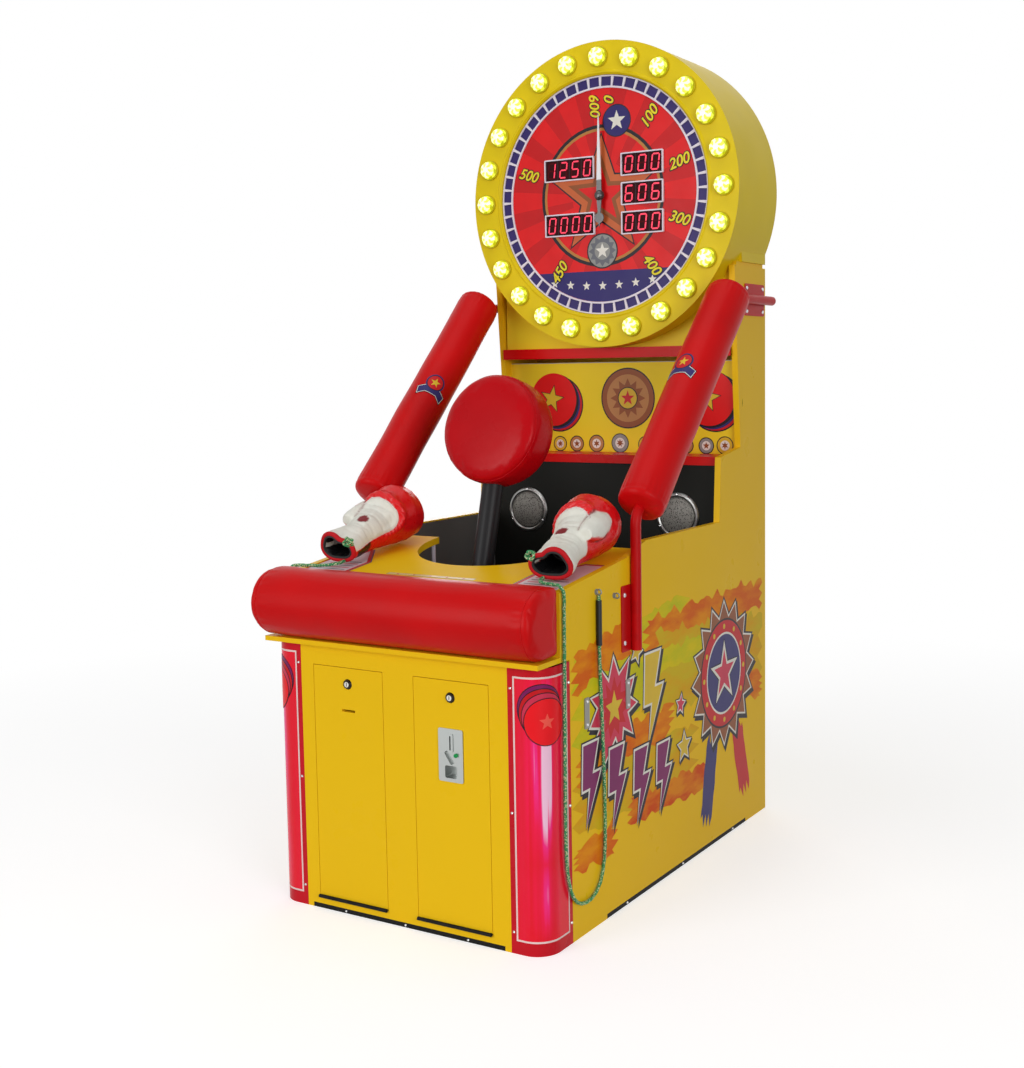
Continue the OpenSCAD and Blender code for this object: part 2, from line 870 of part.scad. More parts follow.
module pivot_frame() {
    bar_y = -arm_r - stop_gap - stop_len;
    post_h = floor_drop - base_t - arm_r - stop_gap - rear_bumper_h;
    color("#26272a")
        difference() {
            union() {
                at_pivot() {
                    translate([-120, -80, -floor_drop]) cube([240, 340, base_t]);
                    for (sx = [-1, 1])
                        translate([sx * cheek_x, 0, 0])
                            along_x(cheek_t) cheek_outline();
                    translate([0, rear_stop_y, -floor_drop + base_t - 1]) cylinder(r = 18, h = post_h + 1);
                }
                at_arm()
                    translate([-cheek_x, bar_y - 12, stop_l - 16]) cube([2 * cheek_x, 12, 32]);
            }
            at_pivot() {
                rotate([0, 90, 0]) cylinder(r = shaft_r + 3, h = 200, center = true);
                translate([cheek_x, latch_y, latch_z])
                    rotate([0, 90, 0]) cylinder(r = bolt_r + 1, h = 20, center = true);
            }
        }
}

bearing_r = 38;
module bearing_blocks() {
    color("#7d8084")
        both_sides()
            at_pivot()
                translate([cheek_x + cheek_t / 2, 0, 0])
                    rotate([0, 90, 0])
                        difference() {
                            rotate_extrude()
                                polygon([[0, 0], [bearing_r, 0], [bearing_r, 7], [27, 9], [24, 22], [0, 22]]);
                            translate([0, 0, -1]) cylinder(r = shaft_r + running_fit, h = 24);
                        }
}

module stop_bumpers() {
    color("#101010") {
        at_arm()
            translate([0, -arm_r - stop_gap, stop_l])
                rotate([90, 0, 0]) cylinder(r = 13, h = stop_len);
        at_pivot()
            translate([0, rear_stop_y, -arm_r - stop_gap - rear_bumper_h])
                rotate_extrude()
                    polygon([[0, 0], [22, 0], [22, rear_bumper_h - 5], [17, rear_bumper_h], [0, rear_bumper_h]]);
    }
}

sector_r = 78;
module arm_sensor() {
    slot_low = -sector_r - 4;
    low = -floor_drop + base_t;
    color("#202022")
        at_pivot()
            difference() {
                translate([sector_x[0] - 8, -10, low])
                    cube([sector_x[1] - sector_x[0] + 16, 20, slot_low + 24 - low]);
                translate([sector_x[0] - sensor_slot, -11, slot_low])
                    cube([sector_x[1] - sector_x[0] + 2 * sensor_slot, 22, 40]);
            }
}

// A push solenoid on the right cheek, its bore in line with the hole of the arm's sector
bolt_gap = 2;
solenoid_len = 44;
module latch_solenoid() {
    color("#3c3f44")
        at_pivot()
            translate([cheek_x + cheek_t / 2, latch_y, latch_z])
                rotate([0, 90, 0])
                    difference() {
                        union() {
                            cylinder(r = 15, h = solenoid_len);
                            translate([-17, -17, 0]) cube([34, 34, 3]);
                        }
                        translate([0, 0, -1]) cylinder(r = bolt_r + running_fit, h = solenoid_len - 3);
                    }
}

module latch_bolt() {
    tip_x = sector_x[1] + bolt_gap;
    color("#b9bcc0")
        at_pivot()
            translate([tip_x, latch_y, latch_z])
                rotate([0, 90, 0])
                    rotate_extrude()
                        polygon([[0, 0], [bolt_r - 1.5, 0], [bolt_r, 1.5], [bolt_r, 44], [0, 44]]);
}

sleeve_r = 16;
arm_tip = arm_reach + 60;
// Welded arm: shaft, boss, tube, spring peg and the latch sector with its hole
module punch_arm() {
    hole_a = latch_a + arm_travel;
    color("#1d1d1f")
        difference() {
            union() {
                at_pivot() {
                    rotate([0, 90, 0]) cylinder(r = shaft_r, h = 2 * (cheek_x + 30), center = true);
                    rotate([0, 90, 0]) cylinder(r = 34, h = 60, center = true);
                    rotate([0, 90, 0]) cylinder(r = sleeve_r, h = 120, center = true);
                    translate([(sector_x[0] + sector_x[1]) / 2, 0, 0])
                        along_x(sector_x[1] - sector_x[0])
                            intersection() {
                                circle(sector_r, $fn = 96);
                                polygon([[-14, 14], [-14, -2], [4, -14], [100, -50], [160, 60], [60, 120]]);
                            }
                }
                at_arm() {
                    difference() {
                        translate([0, 0, 10]) cylinder(r = arm_r, h = arm_tip - 10);
                        translate([0, 0, 45]) cylinder(r = arm_r - arm_wall, h = arm_tip - 45 - arm_wall);
                    }
                    translate([-arm_r + 2, 0, 60]) rotate([0, -90, 0]) cylinder(r = 4, h = 12);
                }
            }
            at_pivot()
                translate([(sector_x[0] + sector_x[1]) / 2, latch_r * cos(hole_a), latch_r * sin(hole_a)])
                    rotate([0, 90, 0])
                        cylinder(r = bolt_r + 1, h = sector_x[1] - sector_x[0] + 6, center = true);
        }
}

// A thick round cushion with a crowned face, drawn in at its sewn edges
module punch_pad() {
    e = 20;
    crown = 5;
    back = punch_depth - punch_face;
    color("#b01019")
        difference() {
            at_arm()
                translate([0, back, arm_reach])
                    rotate([90, 0, 0])
                        rotate_extrude($fn = 96)
                            polygon(concat(
                                [[0, 0]],
                                [for (i = [0:2]) [punch_r - 12 + 10 * sin(i * 45), 12 - 12 * cos(i * 45)]],
                                [[punch_r, punch_depth * 0.5]],
                                [for (i = [0:4]) [punch_r - e - 1 + e * cos(i * 22.5),
                                    punch_depth - crown - e + e * sin(i * 22.5)]],
                                [[punch_r * 0.55, punch_depth - crown * 0.35], [0, punch_depth]]));
            at_arm() translate([0, 0, arm_reach / 2]) cylinder(r = arm_r, h = arm_tip - arm_reach / 2);
        }
}

// A torsion spring on the left sleeve: one leg stands on the base plate, one leans on the peg
spring_wire = 2.5;
spring_mean = 22.2;
spring_turns = 4;
spring_pitch = 6;
spring_x = -33;
spring_points = concat(
    [[spring_x, spring_mean, 68], [spring_x, spring_mean, 34]],
    [for (i = [0:12 * spring_turns]) let (a = i * 30)
        [spring_x - spring_pitch * i / 12, spring_mean * cos(a), -spring_mean * sin(a)]],
    [[spring_x - spring_pitch * spring_turns, spring_mean, -34],
     [spring_x - spring_pitch * spring_turns, spring_mean, -floor_drop + base_t]]);
echo("gap between the spring's turns, mm", spring_pitch - 2 * spring_wire);
module return_spring() {
    color("#9a9da1")
        at_pivot() swept_tube(spring_points, spring_wire, 6, [1, 0, 0.1]);
}

/* Doors, hinges and locks */

hinge_leaf_t = 1.2;
hinge_play = 0.4;
knuckle_clear = 0.4;
// One half of a piano hinge, drawn with the pin along z and the leaf towards +y, on one side of x = 0
module hinge_half(len, first, side, leaf_w) {
    pitch = 30;
    count = floor(len / pitch);
    step = len / count;
    leaf_x = side > 0 ? hinge_gap / 2 - hinge_leaf_t : -hinge_gap / 2;
    difference() {
        union() {
            for (i = [0:count - 1])
                if (i % 2 == first)
                    translate([0, 0, i * step + hinge_play / 2]) {
                        cylinder(r = knuckle_r, h = step - hinge_play, $fn = 24);
                        translate([leaf_x, 0, 0]) cube([hinge_leaf_t, knuckle_r + 2, step - hinge_play]);
                    }
            translate([leaf_x, knuckle_r + knuckle_clear, hinge_play / 2])
                cube([hinge_leaf_t, leaf_w, len - hinge_play]);
        }
        translate([0, 0, -1]) cylinder(r = hinge_pin_r + running_fit, h = len + 2, $fn = 24);
    }
}

module hinge_pin(len) {
    cylinder(r = hinge_pin_r, h = len, $fn = 24);
}

front_axis_d = -knuckle_r;
front_axis_z = door_z - hinge_gap / 2;
rear_axis_x = rear_door_w / 2 + hinge_gap / 2;
rear_axis_d = body_d + knuckle_r;

// Turns the hinge so that its pin lies along x, below the door
module front_hinge(x, first, side) {
    translate([x - door_w / 2, depth(front_axis_d), front_axis_z])
        multmatrix([[0, 0, 1, 0], [0, 1, 0, 0], [1, 0, 0, 0], [0, 0, 0, 1]])
            hinge_half(door_w, first, side, front_t - 1);
}

module rear_hinge(first, side) {
    translate([rear_axis_x, depth(rear_axis_d), rear_door_z])
        mirror([0, 1, 0])
            hinge_half(rear_door_h, first, side, panel_t - 1);
}

module door_hinges() {
    color("#121212") {
        for (x = [left_door_x, right_door_x]) {
            front_hinge(x, 0, -1);
            translate([x - door_w / 2, depth(front_axis_d), front_axis_z])
                rotate([0, 90, 0]) hinge_pin(door_w);
        }
        rear_hinge(0, 1);
        translate([rear_axis_x, depth(rear_axis_d), rear_door_z]) hinge_pin(rear_door_h);
    }
}

slot_w = 42;
slot_h = 6;
slot_drop = 110;
coin_w = 52;
coin_h = 112;
coin_z = 449;
module door_board(x) {
    color("#e9c31e")
        facing_front(0, front_t)
            difference() {
                translate([x - door_w / 2, door_z]) square([door_w, door_h]);
                translate([x, lock_z]) circle(lock_r + running_fit);
                children();
            }
    color("#121212") front_hinge(x, 1, 1);
}

module door_left() {
    door_board(left_door_x)
        translate([left_door_x - slot_w / 2, lock_z + lock_drop - slot_drop])
            square([slot_w, slot_h]);
}

module door_right() {
    door_board(right_door_x)
        translate([right_door_x - coin_w / 2, coin_z - coin_h / 2])
            square([coin_w, coin_h]);
}

// A quarter-turn cam lock: round face with a key slot, barrel and cam plate
cam_len = 52;
cam_back = 1.5;
module cam_lock(through, cam_angle) {
    color("#c9cbce")
        difference() {
            union() {
                rotate_extrude()
                    polygon([[0, -5], [7, -5], [8, -3.5], [11, -3.5], [13, 0], [lock_r, 0],
                             [lock_r, through + cam_back], [0, through + cam_back]]);
                translate([0, 0, through + cam_back])
                    rotate([0, 0, cam_angle])
                        linear_extrude(2.5) {
                            translate([0, -7]) square([cam_len - 7, 14]);
                            translate([cam_len - 7, 0]) circle(7);
                            circle(8);
                        }
            }
            translate([-0.8, -4.5, -6]) cube([1.6, 9, 6]);
        }
}

module lock_left() { axis_back(left_door_x, 0, lock_z) cam_lock(front_t, 0); }
module lock_right() { axis_back(right_door_x, 0, lock_z) cam_lock(front_t, 0); }

module rear_door() {
    color("#d9a71f")
        facing_front(body_d - panel_t, panel_t)
            difference() {
                translate([-rear_door_w / 2, rear_door_z]) square([rear_door_w, rear_door_h]);
                translate([lock_rear_x, rear_lock_z]) circle(lock_r + running_fit);
            }
    color("#121212") rear_hinge(1, -1);
}

module rear_lock() {
    translate([lock_rear_x, depth(body_d), rear_lock_z])
        rotate([90, 0, 0])
            cam_lock(panel_t, -90);
}

// A coin entry unit: screwed face plate with entry slot, sloping chute and return cup
module coin_acceptor() {
    plate_w = 70;
    plate_h = 128;
    body_deep = 88;
    coin_slot = 3.5;
    color("#aeb3b4")
        difference() {
            union() {
                facing_front(-3, 3)
                    translate([right_door_x, coin_z]) rounded_rect(plate_w, plate_h, 5);
                facing_front(-1, body_deep + 1)
                    translate([right_door_x, coin_z])
                        square([coin_w - 1, coin_h - 1], center = true);
                facing_front(-5, 3)
                    translate([right_door_x, coin_z + 30]) rounded_rect(16, 44, 4);
            }
            facing_front(-6, 24)
                translate([right_door_x, coin_z + 30]) square([coin_slot, 34], center = true);
            facing_front(-4, 26)
                translate([right_door_x, coin_z - 40]) rounded_rect(34, 30, 4);
            facing_front(-4, 8)
                translate([right_door_x - 4, coin_z - 6]) rotate(35) rounded_rect(12, 36, 4);
            axis_back(right_door_x + 16, -4, coin_z + 2)
                cylinder(r = button_r + 0.2, h = 16);
        }
}

button_r = 5;
button_travel = 4;
module coin_button() {
    color("#1f9a50")
        axis_back(right_door_x + 16, -3 - button_travel - 1, coin_z + 2)
            rotate_extrude($fn = 32)
                polygon([[0, 0], [button_r - 1, 0], [button_r, 1], [button_r, 14], [0, 14]]);
}

/* Inside the cabinet */

module cash_box() {
    wall = 2;
    w = 170;
    l = 240;
    h = 150;
    color("#8f9396")
        translate([right_door_x - w / 2, depth(60), board_z])
            difference() {
                union() {
                    cube([w, l, h]);
                    translate([w / 2 - 40, -12, h - 30]) cube([80, 14, 12]);
                }
                translate([wall, wall, wall]) cube([w - 2 * wall, l - 2 * wall, h]);
                translate([w / 2 - 34, -6, h - 31]) cube([68, 6, 14]);
            }
}

// A tray with the power supply's finned case and the control board on stand-offs
module electronics_tray() {
    w = 320;
    l = 190;
    fins = 9;
    color("#2f7d46")
        translate([-w / 2, depth(1040), board_z]) {
            cube([w, l, 3]);
            cube([3, l, 24]);
            translate([w - 3, 0, 0]) cube([3, l, 24]);
            translate([14, 14, 2]) cube([104, l - 28, 46]);
            for (i = [0:fins - 1])
                translate([20 + i * 11, 20, 47]) cube([4, l - 40, 9]);
            translate([140, 16, 14]) cube([160, l - 32, 2]);
            for (sx = [148, 292], sy = [24, l - 24])
                translate([sx, sy, 2]) cylinder(r = 4, h = 13);
            for (i = [0:3])
                translate([156 + i * 34, 30, 15]) cube([24, 12, 12]);
            translate([190, 80, 15]) cube([46, 46, 6]);
        }
}

// Mains inlet with a recessed three-pin socket and the switch's window above it
rocker_z = inlet_z + 16;
rocker_half = 9;
module power_inlet() {
    color("#17181a") {
        difference() {
            union() {
                facing_front(body_d, 3)
                    translate([inlet_x, inlet_z]) rounded_rect(inlet_w + 12, inlet_h + 12, 4);
                facing_front(body_d - 34, 34.01)
                    translate([inlet_x, inlet_z]) square([inlet_w - 1, inlet_h - 1], center = true);
            }
            facing_front(body_d - 16, 20)
                translate([inlet_x, inlet_z - 12])
                    polygon([[-14, -10], [14, -10], [14, 5], [9, 10], [-9, 10], [-14, 5]]);
            facing_front(body_d - 14, 18)
                translate([inlet_x, rocker_z]) square([14, 2 * rocker_half], center = true);
        }
        for (p = [[-7, -2], [7, -2], [0, 3]])
            facing_front(body_d - 16.5, 12)
                translate([inlet_x + p[0], inlet_z - 12 + p[1]]) square([2, 5], center = true);
    }
}

// The rocker leans to one side at rest and turns about a level axis inside its window
module rocker_switch() {
    tilt = 8;
    color("#b3141c")
        translate([inlet_x, depth(body_d) - 1, rocker_z])
            rotate([-tilt, 0, 0])
                along_x(12.6)
                    polygon([[-4, -5], [-4, 5], [0.6, 7.4], [4.4, 7.6], [2.8, 0], [4.4, -7.6], [0.6, -7.4]]);
}

/* Fittings and screws */

bracket_p = [[193, 537], [400, 541]];
eye_p = [246, 821];
eye_step = [89, -22];
sleeve_z = [692, 801];
rope_x = half_w + 8;
eye_r = 6;
module eye_screw() {
    rotate([0, 90, 0]) {
        cylinder(r = 7, h = 2);
        cylinder(r = 2, h = 5);
    }
    translate([eye_r + 3, 0, 0])
        rotate([90, 0, 0])
            rotate_extrude($fn = 32)
                translate([eye_r, 0]) circle(2, $fn = 16);
}

module side_fittings_right() {
    for (p = bracket_p)
        translate([half_w + 1.5, depth(p[0]), p[1]])
            along_x(3)
                rounded_rect(22, 75, 4);
    translate([half_w, depth(eye_p[0]), eye_p[1]]) eye_screw();
    translate([half_w, depth(eye_p[0] + eye_step[0]), eye_p[1] + eye_step[1]]) eye_screw();
    translate([rope_x, depth(eye_p[0]), sleeve_z[0]])
        difference() {
            cylinder(r = 7, h = sleeve_z[1] - sleeve_z[0]);
            translate([0, 0, -1]) cylinder(r = rope_r + 0.3, h = sleeve_z[1] - sleeve_z[0] + 2);
        }
}

module side_fittings() {
    color("#5b5e60")
        both_sides() side_fittings_right();
}

// Route from the edge of the side panel: down, round below and up through the sleeve to the eye,
// as distance from the side panel, depth and height
rope_route = [
    [4, 84, 848], [8, 84, 836], [8, 83, 800], [8, 82, 700], [8, 80, 560], [8, 78, 420],
    [8, 77, 300], [8, 78, 235], [8, 83, 185], [8, 94, 143], [8, 111, 112], [8, 134, 93],
    [8, 162, 84], [8, 190, 84], [8, 216, 93], [8, 238, 112], [8, 252, 140], [8, 261, 180],
    [8, 264, 230], [8, 264, 310], [8, 260, 420], [8, 254, 530], [8, 248, 630], [8, 246, 690],
    [8, 246, 745], [8, 246, 812.9]
];
// From each glove's cuff over the counter to the side panel, as x, depth and height
right_start = [[317, 151, 862], [319, 135, 859], [331, 118, 857], [354, 104, 857], [380, 93, 858],
               [399, 86, 857]];
left_start = [[299, 169, 864], [302, 152, 861], [316, 132, 858], [342, 112, 857], [374, 96, 858],
              [398, 87, 857]];

module rope(start) {
    points = concat(
        [for (p = start) [p[0], depth(p[1]), p[2]]],
        [for (p = rope_route) [half_w + p[0], depth(p[1]), p[2]]]);
    color("#2f8f5a") swept_tube(points, rope_r, 8);
}

module rope_right() { rope(right_start); }
module rope_left() { mirror([1, 0, 0]) rope(left_start); }

screw_h = 3;
module screw_head(r) {
    rotate_extrude($fn = 24)
        polygon([[0, 0], [r, 0], [r * 0.9, screw_h * 0.5], [r * 0.5, screw_h], [0, screw_h]]);
}

// Heads of the corner panel, skid, guard plate and bracket screws
module panel_screws() {
    corner_z = [52, corner_h / 2 - 3, corner_h - 48];
    seam_in = 8;
    flange_in = 7;
    skid_in = [104, 94];
    side_x = half_w + plate_t;
    color("#cfd1d3") {
        both_sides() {
            for (z = corner_z) {
                translate([half_w - corner_r - corner_front + seam_in, depth(0), z])
                    rotate([90, 0, 0]) screw_head(3.5);
                translate([half_w, depth(panel_front_d - flange_in), z])
                    rotate([0, 90, 0]) screw_head(4);
            }
            for (p = concat(plate_bolts_low, plate_bolts_high))
                translate([side_x, depth(p[0]), p[1]])
                    rotate([0, 90, 0]) screw_head(6);
            for (p = bracket_p, dz = [-28, 28])
                translate([half_w + 3, depth(p[0]), p[1] + dz])
                    rotate([0, 90, 0]) screw_head(4.5);
            for (d = [skid_side_d[0] + skid_in[0], (skid_side_d[0] + skid_side_d[1]) / 2,
                      skid_side_d[1] - skid_in[1]])
                translate([half_w - 0.5, depth(d), skid_h / 2])
                    rotate([0, 90, 0]) screw_head(3.5);
        }
        for (x = [-185, 0, 185])
            translate([x, depth(0.5), skid_h / 2])
                rotate([90, 0, 0]) screw_head(3.5);
    }
}

/* Gloves */

// Rings of the glove's body: distance from the cuff, half width, half thickness, rise
glove_body = [[0, 58, 43, 0], [33, 56, 42, 0], [78, 52, 40, 2], [118, 56, 45, 7], [162, 68, 58, 14],
              [205, 77, 71, 20], [245, 79, 79, 22], [282, 70, 71, 17], [306, 50, 52, 9], [320, 24, 26, 4]];
glove_thumb = [[104, 17, 17, 0], [124, 24, 22, 0], [158, 29, 27, 2], [192, 30, 28, 4], [220, 24, 23, 3],
               [236, 10, 11, 2]];
glove_sides = 20;
function oval(s, a, b, x, z) = [for (i = [0:glove_sides - 1])
    let (t = 360 * i / glove_sides) [x + a * cos(t), s, z + b * sin(t)]];

module glove_shape() {
    cavity_len = 105;
    thumb_x = -52;
    thumb_rise = 40;
    difference() {
        union() {
            loft([for (g = glove_body) oval(g[0], g[1], g[2], 0, g[3])]);
            loft([for (g = glove_thumb) oval(g[0], g[1], g[2], thumb_x, thumb_rise + g[3])]);
        }
        translate([0, -1, 0])
            scale([1.42, 1, 1])
                rotate([-90, 0, 0]) cylinder(r = 31, h = cavity_len, $fn = 32);
    }
}

// Places of the cuffs' centres: distance in from the side, depth, height over the counter, turn
right_cuff = [67, 148, 49.5, 6];
left_cuff = [87, 165, 51.5, -2];

// Places a glove by its cuff centre, turned on the counter and tilted up its slope
module glove_at(x, d, z, turn) {
    tilt = 11;
    translate([x, depth(d), z])
        rotate([0, 0, turn])
            rotate([tilt, 0, 0])
                children();
}

module glove_right() {
    color("#c9151e")
        glove_at(half_w - right_cuff[0], right_cuff[1], counter_z + right_cuff[2], right_cuff[3])
            mirror([1, 0, 0]) glove_shape();
}

module glove_left() {
    color("#c9151e")
        glove_at(left_cuff[0] - half_w, left_cuff[1], counter_z + left_cuff[2], left_cuff[3])
            glove_shape();
}

base_board();
skid_strips();
side_panel_left();
side_panel_right();
front_panel();
corner_panel_left();
corner_panel_right();
bolster_boards();
bolster_pad();
counter_top();
counter_posts();
well_liner();
speaker_panel();
speakers();
graphic_panel();
trim_strips();
header_panel();
column_top();
rear_panel();
drum_housing();
bulb_ring();
bulb_holders();
bulb_lenses();
dial_face();
segment_ring();
score_displays();
pointer_motor();
guard_bar_left();
guard_bar_right();
guard_pad_left();
guard_pad_right();
pivot_frame();
bearing_blocks();
stop_bumpers();
arm_sensor();
latch_solenoid();
return_spring();
cash_box();
electronics_tray();
power_inlet();
side_fittings();
rope_left();
rope_right();
panel_screws();
door_hinges();
punch_arm();
punch_pad();
latch_bolt();
pointer();
door_left();
door_right();
lock_left();
lock_right();
coin_acceptor();
coin_button();
rear_door();
rear_lock();
rocker_switch();
glove_left();
glove_right();
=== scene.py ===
"""Looks of the boxing arcade machine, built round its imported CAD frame. Metres, +Z up, front at -Y."""
from math import atan2, ceil, cos, degrees, exp, hypot, pi, radians, sin, tan, tau

import bmesh
import bpy
from mathutils import Matrix, Vector, noise
from mathutils.bvhtree import BVHTree


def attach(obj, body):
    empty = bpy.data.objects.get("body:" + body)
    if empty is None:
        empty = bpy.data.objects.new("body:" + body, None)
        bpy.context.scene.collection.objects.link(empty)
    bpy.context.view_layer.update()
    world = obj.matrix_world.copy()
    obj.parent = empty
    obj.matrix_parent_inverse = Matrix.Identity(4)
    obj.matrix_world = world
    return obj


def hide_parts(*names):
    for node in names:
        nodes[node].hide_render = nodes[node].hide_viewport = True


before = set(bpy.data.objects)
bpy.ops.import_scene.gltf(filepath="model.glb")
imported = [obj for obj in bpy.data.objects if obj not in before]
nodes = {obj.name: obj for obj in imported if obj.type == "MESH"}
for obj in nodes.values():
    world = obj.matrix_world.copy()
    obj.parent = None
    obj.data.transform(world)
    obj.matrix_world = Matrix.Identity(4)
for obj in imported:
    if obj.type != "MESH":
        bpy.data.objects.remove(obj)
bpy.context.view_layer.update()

# Driving sizes of the cabinet, as in the part
FRONT_Y = -0.615
BACK_Y = 0.675
HALF_W = 0.405
DOOR_Z = 0.035
REAR_DOOR_EDGE = 0.198
DIAL_Z = 1.858
DIAL_D = 1.026
RING_D = 1.015
LOCKS = {"lock_left": (-0.160, 0.587), "lock_right": (0.148, 0.587)}
SIDES = ((1, "right"), (-1, "left"))


def y_of(depth):
    """The row's y of a depth behind the front panel's face."""
    return FRONT_Y + depth


def linked(name, data):
    """A new object of the scene."""
    obj = bpy.data.objects.new(name, data)
    bpy.context.scene.collection.objects.link(obj)
    return obj


# Camera, fitted to the photograph's edges
IMAGE_H = 1068
FOCAL_PX = 1399.24
SHIFT_PX = (50, -30)
CAMERA_AT = (2.0331, -3.2476, 1.3475)
CAMERA_YAW, CAMERA_PITCH, CAMERA_ROLL = 0.53826, 0.09496, -0.01408


def make_camera():
    yaw, pitch, roll = CAMERA_YAW, CAMERA_PITCH, CAMERA_ROLL
    forward = Vector((-sin(yaw) * cos(pitch), cos(yaw) * cos(pitch), -sin(pitch)))
    right = Vector((cos(yaw), sin(yaw), 0))
    up = right.cross(forward)
    data = bpy.data.cameras.new("photo_camera")
    data.sensor_width = 36
    data.lens = 36 * FOCAL_PX / IMAGE_H
    data.shift_x, data.shift_y = -SHIFT_PX[0] / IMAGE_H, SHIFT_PX[1] / IMAGE_H
    camera = linked("photo_camera", data)
    axes = Matrix((right * cos(roll) + up * sin(roll), up * cos(roll) - right * sin(roll), -forward))
    camera.matrix_world = Matrix.Translation(CAMERA_AT) @ axes.transposed().to_4x4()
    bpy.context.scene.camera = camera


make_camera()


# Tools for meshes

def new_mesh(name, verts, faces, smooth=True):
    mesh = bpy.data.meshes.new(name)
    mesh.from_pydata([tuple(v) for v in verts], [], faces)
    mesh.update()
    mesh.polygons.foreach_set("use_smooth", [smooth] * len(mesh.polygons))
    return linked(name, mesh)


def ring_mesh(name, rings, closed=False):
    """A skin through rings that each have as many points, capped unless it is closed on itself."""
    count, total = len(rings[0]), len(rings)
    faces = []
    for j in range(total if closed else total - 1):
        a, b = j * count, (j + 1) % total * count
        faces += [(a + i, a + (i + 1) % count, b + (i + 1) % count, b + i) for i in range(count)]
    if not closed:
        faces += [tuple(reversed(range(count))), tuple((total - 1) * count + i for i in range(count))]
    return new_mesh(name, [p for ring in rings for p in ring], faces)


def ring_skin(rings, name):
    """A ring mesh whose faces all look outwards."""
    obj = ring_mesh(name, rings)
    bm = bmesh.new()
    bm.from_mesh(obj.data)
    bmesh.ops.recalc_face_normals(bm, faces=bm.faces)
    bm.to_mesh(obj.data)
    bm.free()
    return obj


def circle(count, turn=0.0):
    """Cosines and sines at even steps of a full turn."""
    return [(cos(tau * k / count + turn), sin(tau * k / count + turn)) for k in range(count)]


def arc(u, v, r, angles):
    """Points of a flat arc, its angles in degrees."""
    return [(u + r * cos(radians(a)), v + r * sin(radians(a))) for a in angles]


def frames_along(line, closed=False, side=(0.31, 0.17, 0.93)):
    """Each point of a line with two side vectors, carried along without twist."""
    made, side = [], Vector(side)
    before = [line[-1] if closed else line[0]] + line[:-1]
    after = line[1:] + [line[0] if closed else line[-1]]
    for a, point, b in zip(before, line, after):
        tangent = (b - a).normalized()
        side = (side - tangent * side.dot(tangent)).normalized()
        made.append((point, side, tangent.cross(side)))
    return made


def tube_along(name, points, radius, sides=8, closed=False):
    """A thin round bead along points, for piping, welts and stitches."""
    rings = [[p + radius * (c * u + s * v) for c, s in circle(sides)]
             for p, u, v in frames_along(points, closed)]
    return ring_mesh(name, rings, closed)


def from_bmesh(name, bm, materials):
    """A new object of a mesh made in bm, with its materials."""
    mesh = bpy.data.meshes.new(name)
    bm.to_mesh(mesh)
    bm.free()
    for material in materials:
        mesh.materials.append(material)
    return linked(name, mesh)


def painted(obj, material):
    obj.data.materials.clear()
    obj.data.materials.append(material)
    return obj


def rides(obj, body, material=None):
    if material:
        painted(obj, material)
    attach(obj, body)
    return obj


def joined(name, objs):
    """One mesh object made of several, their materials kept."""
    bm, materials = bmesh.new(), []
    for obj in objs:
        offset, material = len(bm.faces), obj.data.materials[0] if obj.data.materials else None
        if material not in materials:
            materials.append(material)
        bm.from_mesh(obj.data)
        bm.faces.ensure_lookup_table()
        for face in bm.faces[offset:]:
            face.material_index = materials.index(material)
        bpy.data.objects.remove(obj)
    return from_bmesh(name, bm, materials)


# Tools for materials

def srgb(r, g, b):
    """A colour written in 0 to 255 screen values, as linear values."""
    return tuple(c / 12.92 if c <= 0.04045 else ((c + 0.055) / 1.055) ** 2.4
                 for c in (r / 255, g / 255, b / 255)) + (1.0,)


